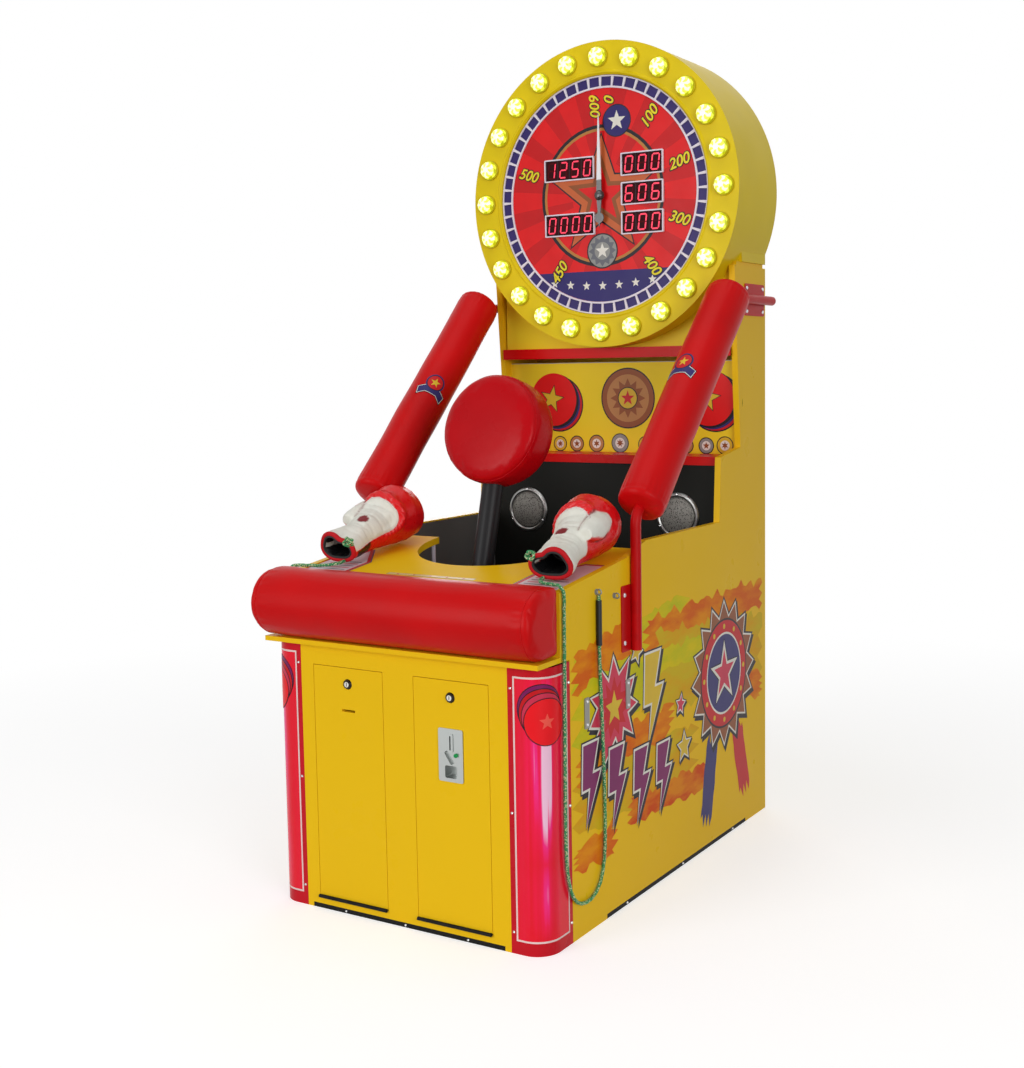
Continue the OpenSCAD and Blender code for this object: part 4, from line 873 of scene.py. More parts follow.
def section_angle(x, s, z):
    """Degrees round a glove's section: 0 at the little finger, 90 at the middle of the palm."""
    half, thick, rise = between(GLOVE_RINGS, s)
    a = degrees(atan2((z - rise) / thick, x / half))
    return a + 360 if a < -100 else a


def palm_edge(x, s, z):
    """How far a place lies inside the edge of the white palm."""
    half, thick, _ = between(GLOVE_RINGS, s)
    per_degree = radians(half + thick) / 2
    a = section_angle(x, s, z)
    low = (a - PALM_LOW) * per_degree
    high = (PALM_HIGH + 88 * smooth(116 - s, 0, 16) - a) * per_degree
    tip = 60.0
    if s > PALM_SHOULDER:
        corner = max(0, abs(a - PALM_MIDDLE) - PALM_FLAT) / PALM_BEND
        tip = 56 * (1 - hypot((s - PALM_SHOULDER) / PALM_TIP, corner))
    return min(low, high, tip)


def glove_zones(x, s, z, n):
    """White, black and dark-red shares of the skin at a place, and how far it is on the thumb; the dark red is
    painted shade.
    """
    half, thick, rise = between(GLOVE_RINGS, s)
    body = (hypot(x / half, (z - rise) / thick) - 1) * (half + thick) / 2 - GLOVE_SWELL
    thumb = 99.0
    if 100 <= s <= 242:
        r, lift = between(GLOVE_THUMB, s)
        thumb = hypot(x - THUMB_X, z - THUMB_Z - lift) - r - GLOVE_SWELL
    on_thumb = smooth(body - thumb, -2, 2) * smooth(9 - thumb, 0, 3)
    white = smooth(palm_edge(x, s, z), -1.2, 1.2)
    thumb_white = smooth(n.z, -0.45, -0.25) * (1 - smooth(s, 224, 232))
    white = white * (1 - on_thumb) + thumb_white * on_thumb
    a = section_angle(x, s, z)
    opening = (x / (CUFF_X - 0.5)) ** 2 + (z / (CUFF_Z - 0.5)) ** 2
    inside = 1.0 if s < CUFF_DEEP and opening < 1 else 0.0
    patch = smooth(min(a + 62, -15 - a), -2, 2) * smooth(min(s - 12, 80 - s), -2, 2)
    # Painted shade: dark red in the crease where the thumb meets the body, and in a dented oval on the upper
    # side
    crease_shade = exp(-(body / 3) ** 2 - (thumb / 3) ** 2) if s > 112 else 0.0
    oval = smooth(1 - hypot((x - 12) / 17, (s - 100) / 14), -0.05, 0.05) * smooth(z, 10, 25)
    return white, max(inside, patch), max(oval, crease_shade), on_thumb


def squashed(x, s, z):
    """The soft cuff: dented on its upper side and a little out of round."""
    near = 1 - smooth(s, 6, 75)
    a = section_angle(x, s, z)
    r = max(1e-6, hypot(x, z))
    dent = 13 * exp(-((a - 64) / 30) ** 2) - 4 * exp(-((a - 128) / 26) ** 2) + 2.5 * sin(radians(3 * a))
    dent *= near
    return Vector((x - dent * x / r, s - 5 * near * sin(radians(a)), z - dent * z / r))


def glove_material():
    """Leather in the zones that are painted on the mesh: white palm, black lining, and dark red that is painted
    shade in the creases.
    """
    s = Shader("glove_leather", Specular_IOR_Level=0.3)
    zones = s.node("ShaderNodeAttribute", attribute_name="zones").outputs["Color"]
    white, black, dark = s.node("ShaderNodeSeparateColor", {0: zones}).outputs
    dirt = s.mul(s.step(s.noise(26, 5), 0.55, 0.5), 0.35)
    palm = s.mix(dirt, srgb(236, 236, 226), srgb(186, 180, 164))
    # Painted shade: the third zone turns the red to a dark red
    tone = s.mix(dark, s.mix(white, s.varied(srgb(224, 20, 26), 0.06, 30), palm), srgb(120, 10, 22))
    s.out("Base Color", s.mix(black, tone, srgb(22, 22, 24)))
    s.rough(s.math("MULTIPLY_ADD", white, 0.2, 0.2), 0.2, 50, 4)
    s.grain(70, 4, 0.0022, 0.35, under=s.bump(s.cells(620), 0.0003, 0.35))
    return s.material


GLOVE_SKIN = glove_material()
BINDING = plastic("glove_binding", srgb(196, 30, 38), 0.5).material
WHITE_WELT = plastic("white_welt", srgb(226, 214, 210), 0.5).material
STRAP = rubber("black_webbing", srgb(24, 26, 26)).material


def make_glove(name, at, turn, mirror, seed):
    """Swells a glove's CAD form and sews palm, folds, gathers and cuff into its skin."""
    to_row = (Matrix.Translation((at[0], y_of(at[1]), at[2])) @ Matrix.Rotation(radians(turn), 4, "Z")
              @ Matrix.Rotation(radians(GLOVE_TILT), 4, "X") @ Matrix.Diagonal((mirror, 1, 1, 1)))
    to_local = to_row.inverted()
    turned_back = to_local.to_3x3()
    glove = remeshed(linked(name + "_sewn", nodes[name].data.copy()), GLOVE_VOXEL)
    puffed(glove, 0.005)
    shaped, zones = [], []
    for p, n in zip(coords(glove.data), coords(glove.data, "normal")):
        x, s, z = 1000 * (to_local @ p)
        n = (turned_back @ n).normalized()
        white, black, dark, thumb = glove_zones(x, s, z, n)
        edge, body = palm_edge(x, s, z), 1 - thumb
        move = 1.6 * noise.noise(Vector((x * 0.03 + seed, s * 0.03, z * 0.03)))
        move -= 9 * smooth(edge, 0, 26) * body * smooth(s, 112, 150)
        folds = 0.0
        for at_s, deep in PALM_FOLDS:
            bent = s - at_s - 7 * noise.noise(Vector((x * 0.02, at_s * 0.4 + seed, z * 0.02))) - 0.0012 * x * x
            folds -= deep * exp(-(bent / 3.4) ** 2)
        move += folds * white * smooth(edge, 2, 12)
        outside, along = max(0.0, -edge), s
        if s >= PALM_SHOULDER:
            aside = abs(section_angle(x, s, z) - PALM_MIDDLE)
            along += 40 * abs(atan2(s - PALM_SHOULDER, max(1e-3, aside * 0.8)))
        along += 6 * noise.noise(Vector((along * 0.03, seed, z * 0.02)))
        reach = smooth(outside, 0, 5) * exp(-(outside / 25) ** 2) * body * smooth(s, 90, 140)
        move += 3.4 * sin(tau * along / GATHER_PITCH) * reach
        roll = 4.5 * smooth(s, 110, 150) + 2.5 * smooth(s, 170, 200)
        move += roll * exp(-((outside - 20) / 14) ** 2) * body
        move -= 3.0 * exp(-(edge / 3.2) ** 2) * body * smooth(s, 30, 80)
        move -= 2.5 * dark
        if black and s < CUFF_DEEP and hypot(x / CUFF_X, z / CUFF_Z) < 1:
            move = 0.0
        shaped.append(to_row @ (squashed(*(Vector((x, s, z)) + n * move)) / 1000))
        # The third channel carries the painted shade of the creases
        zones += (white, black, dark, 1.0)
    set_coords(glove.data, shaped)
    layer = glove.data.color_attributes.new("zones", "FLOAT_COLOR", "POINT")
    layer.data.foreach_set("color", zones)
    finished_soft(glove, GLOVE_SKIN, name, name)
    add_glove_trim(glove, to_row, name, seed)


def add_glove_trim(glove, to_row, name, seed):
    """Welt round the palm, binding and lining of the cuff, and the knot that holds the glove."""
    skin = skin_of(glove)

    def on_skin(a, s):
        half, thick, rise = between(GLOVE_RINGS, s)
        core = Vector((0, s, rise)) / 1000
        reach = Vector((half * cos(radians(a)), 0, thick * sin(radians(a)))) / 1000
        return landed(skin, to_row @ (core + 1.6 * reach), to_row @ core)

    def cuff_bead(half_x, half_z, s, radius, sides, material):
        ring = [to_row @ (squashed(half_x * c, s, half_z * t) / 1000) for c, t in circle(64)]
        return painted(tube_along("bead", ring, radius, sides, closed=True), material)

    first, last = PALM_MIDDLE - PALM_FLAT, PALM_MIDDLE + PALM_FLAT
    bend = [(PALM_BEND * cos(pi / 24 * k), PALM_SHOULDER + PALM_TIP * sin(pi / 24 * k)) for k in range(13)]
    edge = [(PALM_LOW, s) for s in range(10, PALM_SHOULDER, 6)] + [(first - a, s) for a, s in bend]
    edge += [(a, PALM_SHOULDER + PALM_TIP) for a in range(first + 5, last, 6)]
    edge += [(last + a, s) for a, s in reversed(bend)]
    palm_welt = painted(tube_along("welt", [on_skin(a, s) for a, s in edge], 0.0015), WHITE_WELT)
    binding = cuff_bead(51.5, 37.5, 1.5, 0.0064, 10, BINDING)
    lining = cuff_bead(44.5, 30.5, -1.0, 0.0034, 8, STRAP)
    rides(joined(name + "_trim", [palm_welt, binding, lining]), name)
    loops = []
    for a in (tau * k / 72 for k in range(72)):
        loops.append(to_row @ Vector((0.046 + 0.0085 * cos(2 * a) + 0.004 * cos(3 * a + seed),
                                      -0.006 + 0.0055 * sin(3 * a),
                                      0.020 + 0.0085 * sin(2 * a) - 0.004 * sin(a))))
    rides(tube_along(name + "_knot", loops, 0.0034, 10, closed=True), name, ROPE_MATERIAL)


make_glove("glove_right", (0.338, 0.148, 0.8965), 6, -1, 0.0)
make_glove("glove_left", (-0.318, 0.165, 0.8985), -2, 1, 5.0)


# Inks and washes of the prints, by name

INK_TONES = {
    "black": (30, 22, 30), "white": (236, 232, 222), "red": (206, 26, 34), "plum": (128, 28, 96),
    "gold": (226, 190, 50), "blue": (52, 46, 110), "brown": (150, 84, 44), "rose": (214, 54, 84),
    "grey": (150, 150, 146), "tan": (190, 134, 78), "hot": (232, 22, 24), "edge_grey": (176, 172, 160),
    "frame": (240, 214, 212), "ball": (246, 30, 38), "ball_light": (255, 96, 82), "sheet": (226, 206, 214),
    "sheet_line": (96, 90, 110), "strip": (226, 196, 128), "dial_red": (232, 20, 24),
    "dial_deep": (206, 15, 21), "dial_blue": (44, 34, 104), "dial_gold": (190, 126, 60),
    "violet": (50, 36, 104), "amber_ink": (206, 104, 56), "steel_ink": (108, 110, 118),
    "number_yellow": (240, 220, 40),
}
WASH_TONES = {
    "orange": ((240, 150, 14), (226, 104, 14), 9), "lime": ((228, 206, 20), (204, 200, 26), 8),
    "rust": ((218, 82, 16), (234, 142, 22), 10), "amber": ((230, 170, 20), (220, 190, 30), 7),
}


def ink(name, tone):
    """Printing ink under gloss film, slightly uneven."""
    rough, grain = (0.27, 0.14, 24, 3), (160, 2, 0.0001, 0.3)
    return finish("ink_" + name, srgb(*tone), 0.15, (0.06, 14), rough, grain).material


def washed(name, first, second, scale):
    """A brushed wash that runs between two colours."""
    s = Shader("wash_" + name, srgb(*first), Roughness=0.36, Specular_IOR_Level=0.06)
    cloud = s.noise(scale, 5, 0.6, s.stretched((1, 0.7, 2.2)))
    s.out("Base Color", s.mix(s.step(cloud, 0.5, 0.22), srgb(*first), srgb(*second)))
    s.grain(160, 2, 0.0001, 0.3)
    return s.material


INK = {name: ink(name, tone) for name, tone in INK_TONES.items()}
INK.update({name: washed(name, *tones) for name, tones in WASH_TONES.items()})


# Prints: flat shapes laid on the boards a fraction of a millimetre proud

def box(u0, v0, u1, v1):
    return [(u0, v0), (u1, v0), (u1, v1), (u0, v1)]


def disc(u, v, r, count=48):
    return [(u + r * c, v + r * s) for c, s in circle(count)]


def star(u, v, outer, inner, points, turn=0.0):
    return [(u + r * s, v + r * c) for r, (c, s) in zip((outer, inner) * points, circle(2 * points, turn))]


def discs(u, v, layer, *rows, count=48):
    """Discs about one place, each (radius, ink), stacked from a layer upwards."""
    return [(disc(u, v, r, count), look, layer + k) for k, (r, look) in enumerate(rows)]


def stars(u, v, layer, *rows, points=5, turn=0.0):
    """Stars about one place, each (outer radius, inner radius, ink), stacked from a layer upwards."""
    return [(star(u, v, outer, inner, points, turn), look, layer + k)
            for k, (outer, inner, look) in enumerate(rows)]


def burst(u, v, r, count, seed):
    """A hand-cut looking burst with uneven points."""
    ring = []
    for k in range(2 * count):
        wobble = noise.noise(Vector((k * 1.7, seed, 0.3)))
        size = r * (0.62 + 0.12 * wobble if k % 2 else 1.0 + 0.28 * wobble)
        a = pi * k / count + 0.25 * wobble
        ring.append((u + size * sin(a), v + size * cos(a)))
    return ring


def bolt(u, v, w, h):
    """A lightning bolt that fills a box of width w and height h about a place."""
    shape = [(0.05, 1.0), (0.75, 1.0), (0.48, 0.62), (0.86, 0.62), (0.16, 0.0), (0.36, 0.46), (0.0, 0.46)]
    return [(u + (a - 0.45) * w, v + (b - 0.5) * h) for a, b in shape]


def grown(shape, by):
    """The shape with its outline moved out by a distance."""
    after = shape[1:] + shape[:1]
    sign = 1 if sum(a[0] * b[1] - b[0] * a[1] for a, b in zip(shape, after)) > 0 else -1
    made = []
    for a, b, c in zip(shape[-1:] + shape[:-1], shape, after):
        a, b, c = Vector(a), Vector(b), Vector(c)
        n1, n2 = (Vector((edge.y, -edge.x)).normalized() * sign for edge in (b - a, c - b))
        made.append(tuple(b + (n1 + n2) * (by / max(0.45, 1 + n1.dot(n2)))))
    return made


def outlined(shape, look, layer, white=0.006, black=0.010, shadow=(0.008, -0.010)):
    """A shape with a white line round it and a dark edge and drop shadow behind it."""
    edge = grown(shape, black)
    dropped = [(u + shadow[0], v + shadow[1]) for u, v in edge]
    return [(dropped, "black", layer), (edge, "black", layer + 1), (grown(shape, white), "white", layer + 2),
            (shape, look, layer + 3)]


def stroke(u0, v0, u1, v1, width, rag, seed):
    """A brush stroke between two places, with ragged ends and sides."""
    start, end = Vector((u0, v0)), Vector((u1, v1))
    along = (end - start).normalized()
    side = Vector((-along.y, along.x))
    count = max(10, int((end - start).length / 0.018))
    upper, lower = [], []
    for k in range(count + 1):
        p = start.lerp(end, k / count)
        a = noise.noise(Vector((k * 0.55, seed, 0.1)))
        b = noise.noise(Vector((k * 0.55, seed + 7.3, 0.4)))
        upper.append(p + side * width * (0.5 + rag * a))
        lower.append(p - side * width * (0.5 + rag * b))
    for ring in (upper, lower):
        ring[0] -= along * width * 0.25 * noise.noise(Vector((seed, 2.2, len(ring))))
    teeth = [upper[-1].lerp(lower[-1], k / 7) + along * width * (0.35 if k % 2 else -0.15) for k in range(1, 7)]
    back = [lower[0].lerp(upper[0], k / 7) - along * width * (0.3 if k % 2 else -0.12) for k in range(1, 7)]
    return [tuple(p) for p in upper + teeth + lower[::-1] + back]


def printed(name, place, shapes, body, slices=0, step=0.00012, base=0.0002):
    """One mesh of flat shapes, each (outline, ink, layer), placed by place(u, v, lift).

    On a curved board they are cut across at every step of slices, so that they can follow it.
    """
    bm, looks = bmesh.new(), []
    for outline, look, layer in shapes:
        if look not in looks:
            looks.append(look)
        flat = bmesh.new()
        flat.faces.new([flat.verts.new((u, v, 0)) for u, v in outline])
        bmesh.ops.triangulate(flat, faces=flat.faces[:])
        if slices:
            low, high = min(u for u, v in outline), max(u for u, v in outline)
            for k in range(ceil(low / slices), ceil(high / slices)):
                bmesh.ops.bisect_plane(flat, geom=flat.verts[:] + flat.edges[:] + flat.faces[:],
                                       plane_co=(k * slices, 0, 0), plane_no=(1, 0, 0))
        lift = base + layer * step
        known = {v: bm.verts.new(place(v.co.x, v.co.y, lift)) for v in flat.verts}
        for tri in flat.faces:
            corner = tri.verts[0].co
            outward = place(corner.x, corner.y, lift + 1) - place(corner.x, corner.y, lift)
            made = bm.faces.new([known[v] for v in tri.verts])
            made.normal_update()
            if made.normal.dot(outward) < 0:
                made.normal_flip()
            made.material_index = looks.index(look)
            made.smooth = True
        flat.free()
    bmesh.ops.remove_doubles(bm, verts=bm.verts[:], dist=1e-6)
    return rides(from_bmesh(name, bm, [INK[look] for look in looks]), body)


# Depth and height on the side panel: strokes are two ends, width, raggedness, ink and layer, bolts are
# middle, size, ink and layer, and stars are middle, radius and ink

SIDE_STROKES = [
    (0.150, 0.560, 0.700, 0.640, 0.22, 0.12, "lime", 0),
    (0.520, 0.660, 1.255, 0.668, 0.10, 0.35, "orange", 1),
    (0.150, 0.640, 0.420, 0.690, 0.09, 0.35, "orange", 1),
    (0.160, 0.330, 0.760, 0.300, 0.16, 0.15, "amber", 1),
    (0.560, 0.560, 1.262, 0.500, 0.22, 0.15, "amber", 2),
    (0.560, 0.590, 1.000, 0.585, 0.06, 0.35, "lime", 3),
    (0.160, 0.400, 0.640, 0.430, 0.08, 0.35, "orange", 3),
    (0.420, 0.235, 0.860, 0.215, 0.07, 0.35, "rust", 3),
    (0.145, 0.185, 0.320, 0.200, 0.07, 0.35, "orange", 3),
    (0.900, 0.420, 1.250, 0.400, 0.08, 0.35, "orange", 3),
    (0.905, 0.300, 0.860, 0.090, 0.075, 0.08, "blue", 5),
    (1.075, 0.300, 1.130, 0.110, 0.075, 0.08, "red", 5),
]
SIDE_BOLTS = [
    (0.545, 0.500, 0.120, 0.240, "gold", 6), (0.215, 0.360, 0.100, 0.200, "plum", 14),
    (0.345, 0.320, 0.100, 0.200, "plum", 14), (0.475, 0.290, 0.100, 0.190, "plum", 14),
    (0.600, 0.280, 0.095, 0.180, "plum", 14),
]
SIDE_STARS = [(0.720, 0.330, 0.040, "gold"), (0.700, 0.450, 0.026, "rose"), (0.450, 0.640, 0.030, "gold")]
SIDE_EDGES = (0.121, 1.266)


def make_side_prints():
    """Brushed colour fields with bolts, bursts and a star medallion on the side panels."""
    shapes = [(stroke(*ends, k + 1.0), look, layer) for k, (*ends, look, layer) in enumerate(SIDE_STROKES)]
    u, v = 0.330, 0.520
    shapes += outlined(burst(u, v, 0.125, 11, 3.0), "rose", 6)
    shapes += [(burst(u, v, 0.078, 11, 5.0), "red", 11)] + stars(u, v, 12, (0.045, 0.020, "gold"))
    for u, v, w, h, look, layer in SIDE_BOLTS:
        shapes += outlined(bolt(u, v, w, h), look, layer)
    for k, (u, v, r, look) in enumerate(SIDE_STARS):
        shapes += outlined(star(u, v, r, r * 0.45, 5, 0.2 * k), look, 19, 0.004, 0.007, (0.004, -0.006))
    u, v = 0.985, 0.480
    shapes += outlined(star(u, v, 0.205, 0.160, 16), "brown", 7, 0.005, 0.010)
    shapes += discs(u, v, 12, (0.158, "black"), (0.152, "red"), (0.118, "white"), (0.112, "blue"))
    shapes += stars(u, v, 16, (0.104, 0.043, "black"), (0.096, 0.038, "white"), (0.070, 0.028, "rose"))
    shapes += [(disc(u + 0.135 * c, v + 0.135 * s, 0.0075, 16), "gold", 19) for c, s in circle(12)]
    first, last = SIDE_EDGES
    kept = [([(min(max(u, first), last), v) for u, v in outline], *rest) for outline, *rest in shapes]
    for side, end in SIDES:
        printed("side_print_" + end, lambda u, v, lift: Vector((side * (HALF_W + lift), y_of(u), v)), kept,
                "cabinet", step=0.00005)


make_side_prints()


CORNER_R, CORNER_FRONT, CORNER_SIDE = 0.060, 0.037, 0.058
CORNER_ARC = pi / 2 * CORNER_R
CORNER_LEN = CORNER_FRONT + CORNER_ARC + CORNER_SIDE


def corner_place(side):
    """A place on the corner panel's skin: u runs along it from its seam in the front."""
    def place(u, v, lift):
        past = u - CORNER_FRONT
        a = max(0.0, min(pi / 2, past / CORNER_R))
        x = HALF_W - CORNER_R + min(0.0, past) + (CORNER_R + lift) * sin(a)
        depth = CORNER_R + max(0.0, past - CORNER_ARC) - (CORNER_R + lift) * cos(a)
        return Vector((side * x, y_of(depth), v))
    return place


def corner_highlight_material():
    """The corner's field: red with a painted highlight, hot pink streaks down the middle of the round that fade
    into red.
    """
    s = Shader("corner_painted_highlight", srgb(240, 40, 60), Coat_Weight=0.1, Coat_Roughness=0.08, Specular_IOR_Level=0.15)
    axes = s.split(s.place())
    x = s.sub(s.math("ABSOLUTE", axes[0]), HALF_W - CORNER_R)
    turn = s.math("ARCTAN2", s.sub(axes[1], y_of(CORNER_R)), x)
    across = s.math("DIVIDE", s.math("ADD", turn, 0.62), 0.95)
    glow = s.math("POWER", s.sub(1.0, s.math("ABSOLUTE", across), clamp=True), 1.1)

    def band(middle, half):
        height = s.math("DIVIDE", s.sub(axes[2], middle), half)
        return s.sub(1.0, s.mul(height, height), clamp=True)

    fade = s.math("MAXIMUM", s.math("POWER", band(0.44, 0.27), 1.5), s.mul(band(0.14, 0.10), 0.45))
    streaks = s.noise(48, 2, 0.5, s.stretched((1, 1, 0.02)))
    # Painted highlight: brightest down the middle of the rounded corner, in two bands of height, broken into
    # streaks
    painted_highlight = s.mul(s.mul(glow, fade), s.math("MULTIPLY_ADD", s.step(streaks, 0.5, 0.16), 0.9, 0.5))
    painted_highlight = s.math("ADD", painted_highlight, s.mul(s.sub(streaks, 0.5), 0.35))
    s.out("Base Color", s.ramp(painted_highlight, [(0.0, srgb(240, 16, 44)), (0.3, srgb(252, 22, 78)),
                                      (0.6, srgb(255, 46, 138)), (0.9, srgb(255, 206, 232))]))
    s.rough(0.16, 0.1, 20, 3)
    s.grain(120, 2, 0.0001, 0.3)
    return s.material


def make_corner_prints():
    """A framed field of pink streaks, a painted highlight, with a round emblem on each front corner."""
    low, high, inset, line, count = 0.036, 0.652, 0.019, 0.0045, 48
    end = CORNER_LEN - inset

    def strip(u0, u1, v0, v1, look, layer, parts=1):
        cuts = [u0 + (u1 - u0) * k / parts for k in range(parts + 1)]
        return [(box(a, v0, b, v1), look, layer) for a, b in zip(cuts, cuts[1:])]

    field = strip(inset, end, low, high, "glow", 0, count)
    for u in (inset - line, end):
        field += strip(u, u + line, low - line, high + line, "frame", 1)
    for v in (high, low - line):
        field += strip(inset, end, v, v + line, "frame", 1, count)
    middle, top, emblem = CORNER_LEN / 2 + 0.004, 0.560, []
    balls = ((-0.014, 0.022, "plum"), (-0.011, 0.013, "red"), (-0.005, 0.004, "rose"), (0, -0.008, "ball"))
    for k, (u, v, look) in enumerate(balls):
        rows = (0.0590 - 0.001 * k, "black"), (0.0568 - 0.001 * k, look)
        emblem += discs(middle + u, top + v, 3 + 2 * k, *rows)
    emblem += stars(middle, top - 0.008, 11, (0.020, 0.0085, "ball_light"))
    for side, name in SIDES:
        printed("corner_print_" + name, corner_place(side), field, "cabinet")
        printed("corner_emblem_" + name, corner_place(side), emblem, "cabinet", slices=0.004)


# The field's ink is the painted highlight of the corner
INK["glow"] = corner_highlight_material()
make_corner_prints()


GRAPHIC_DEPTH = 1.120
MEDALLIONS_AT = (-0.340, -0.275, -0.210, -0.150, -0.080, 0.002, 0.090, 0.160, 0.225, 0.290, 0.350)


def make_graphic_print():
    """Roundels and a row of medallions on the panel under the head."""
    shapes = []
    for u, v in ((-0.232, 1.258), (0.300, 1.262)):
        shapes += discs(u + 0.020, v - 0.014, 0, (0.086, "black"), (0.082, "red"))
        shapes += discs(u + 0.012, v - 0.009, 2, (0.083, "blue"))
        shapes += discs(u + 0.006, v - 0.004, 3, (0.084, "black")) + discs(u, v, 4, (0.082, "hot"))
        shapes += stars(u - 0.006, v + 0.002, 5, (0.046, 0.019, "black"), (0.041, 0.0165, "gold"), turn=0.2)
    u, v = 0.030, 1.262
    shapes += discs(u, v, 0, (0.092, "black"), (0.088, "brown"), (0.072, "tan"))
    shapes += stars(u, v, 3, (0.060, 0.040, "brown"), points=12)
    shapes += discs(u, v, 4, (0.034, "black"), (0.031, "gold")) + stars(u, v, 6, (0.024, 0.010, "red"))
    for k, u in enumerate(MEDALLIONS_AT):
        r, look = (0.026, 0.023, 0.024, 0.025, 0.027, 0.030)[k % 6], ("tan", "grey", "gold", "tan")[k % 4]
        v = 1.103 + r * 0.75
        shapes += discs(u, v, 1, (r, "black"), (r - 0.003, look), count=32)
        shapes += discs(u, v, 3, (r * 0.55, "white"), count=24)
        shapes += stars(u, v, 4, (r * 0.45, r * 0.2, "brown"), points=5 + k % 3)
    shapes.append((box(-0.386, 1.3695, 0.386, 1.3718), "edge_grey", 1))
    printed("graphic_print", lambda u, v, lift: Vector((u, y_of(GRAPHIC_DEPTH - lift), v)), shapes,
            "cabinet")


make_graphic_print()


COUNTER_FROM, COUNTER_Z, COUNTER_RISE = 0.106, 0.844, tan(radians(7))


def counter_place(u, v, lift):
    """u is x and v is the depth on the sloping counter."""
    return Vector((u, y_of(v), COUNTER_Z + (v - COUNTER_FROM) * COUNTER_RISE + lift))


def make_counter_print():
    """A ruled sheet beside each glove, and a strip of stars in front of the well."""
    shapes = []
    for side in (-1, 1):
        outline = ((0.252, 0.092), (0.392, 0.092), (0.392, 0.330), (0.330, 0.330), (0.252, 0.215))
        sheet = [(side * u, v) for u, v in outline]
        shapes += [(grown(sheet, 0.004), "sheet_line", 0), (sheet, "red", 1)]
        shapes += [(grown(sheet, -0.009), "sheet", 2)]
        for k in range(6):
            v = 0.114 + 0.018 * k
            rule = box(side * 0.272, v, side * (0.375 - 0.012 * (k % 3)), v + 0.005)
            shapes.append((rule, "sheet_line" if k % 2 else "rose", 3))
    strip = box(-0.130, 0.128, 0.130, 0.141)
    shapes += [(grown(strip, 0.0015), "sheet_line", 0), (strip, "strip", 1)]
    shapes += [(star(u, 0.1345, 0.005, 0.0022, 5), "red", 2) for u in (-0.10, -0.05, 0.0, 0.05, 0.10)]
    printed("counter_print", counter_place, shapes, "cabinet")


make_counter_print()


# Each guard pad's badge is at a turn from the pad's top, inwards, and at a distance along it

BADGE_SIZE = 1.3
BADGE_AT = ((8, 0.440), (44, 0.386))


def badge_place(side, skin, turn, along):
    """A place on a guard pad's skin, from the middle of its badge."""
    start = Vector((side * PAD_START.x, PAD_START.y, PAD_START.z))

    def place(u, v, lift):
        angle = -radians(turn) + BADGE_SIZE * u / PAD_R * side
        core = start + PAD_ALONG * (along + BADGE_SIZE * v)
        outward = Vector((side * sin(angle), 0, 0)) + PAD_UP * cos(angle)
        return landed(skin, core + outward * 0.09, core, lift)
    return place


def make_guard_badges():
    """A generic round badge on a ribbon, on the inner upper face of each guard pad."""
    ribbon = [(-0.030, -0.030), (-0.014, -0.020), (0.014, -0.020), (0.030, -0.030), (0.034, -0.012),
              (0.014, -0.002), (-0.014, -0.002), (-0.034, -0.012)]
    shapes = [(grown(ribbon, 0.003), "black", 0), (grown(ribbon, 0.0015), "white", 1), (ribbon, "blue", 2)]
    shapes += discs(0, 0.010, 3, (0.0225, "blue"), (0.020, "black"), (0.0185, "red"), count=40)
    shapes += stars(0, 0.010, 6, (0.0125, 0.005, "gold"))
    for (side, end), skin, (turn, along) in zip(SIDES, GUARD_SKINS, BADGE_AT):
        printed("guard_badge_" + end, badge_place(side, skin, turn, along), shapes, "cabinet",
                slices=0.003, base=0.0006, step=0.0001)


make_guard_badges()


# Dial head: printed face, lit windows, digits, lamps and numbers

def dial_place(depth):
    return lambda u, v, lift: Vector((u, y_of(depth - lift), DIAL_Z + v))


def wedge(r0, r1, a0, a1, parts):
    """A piece of a flat ring between two radii and two angles from the top."""
    turns = [a0 + (a1 - a0) * k / parts for k in range(parts + 1)]
    return [(r1 * sin(a), r1 * cos(a)) for a in turns] + [(r0 * sin(a), r0 * cos(a)) for a in reversed(turns)]


def wedges(r0, r1, count, parts, look, layer):
    """A whole ring of equal wedges."""
    cuts = [tau * k / count for k in range(count + 1)]
    return [(wedge(r0, r1, a, b, parts), look, layer) for a, b in zip(cuts, cuts[1:])]


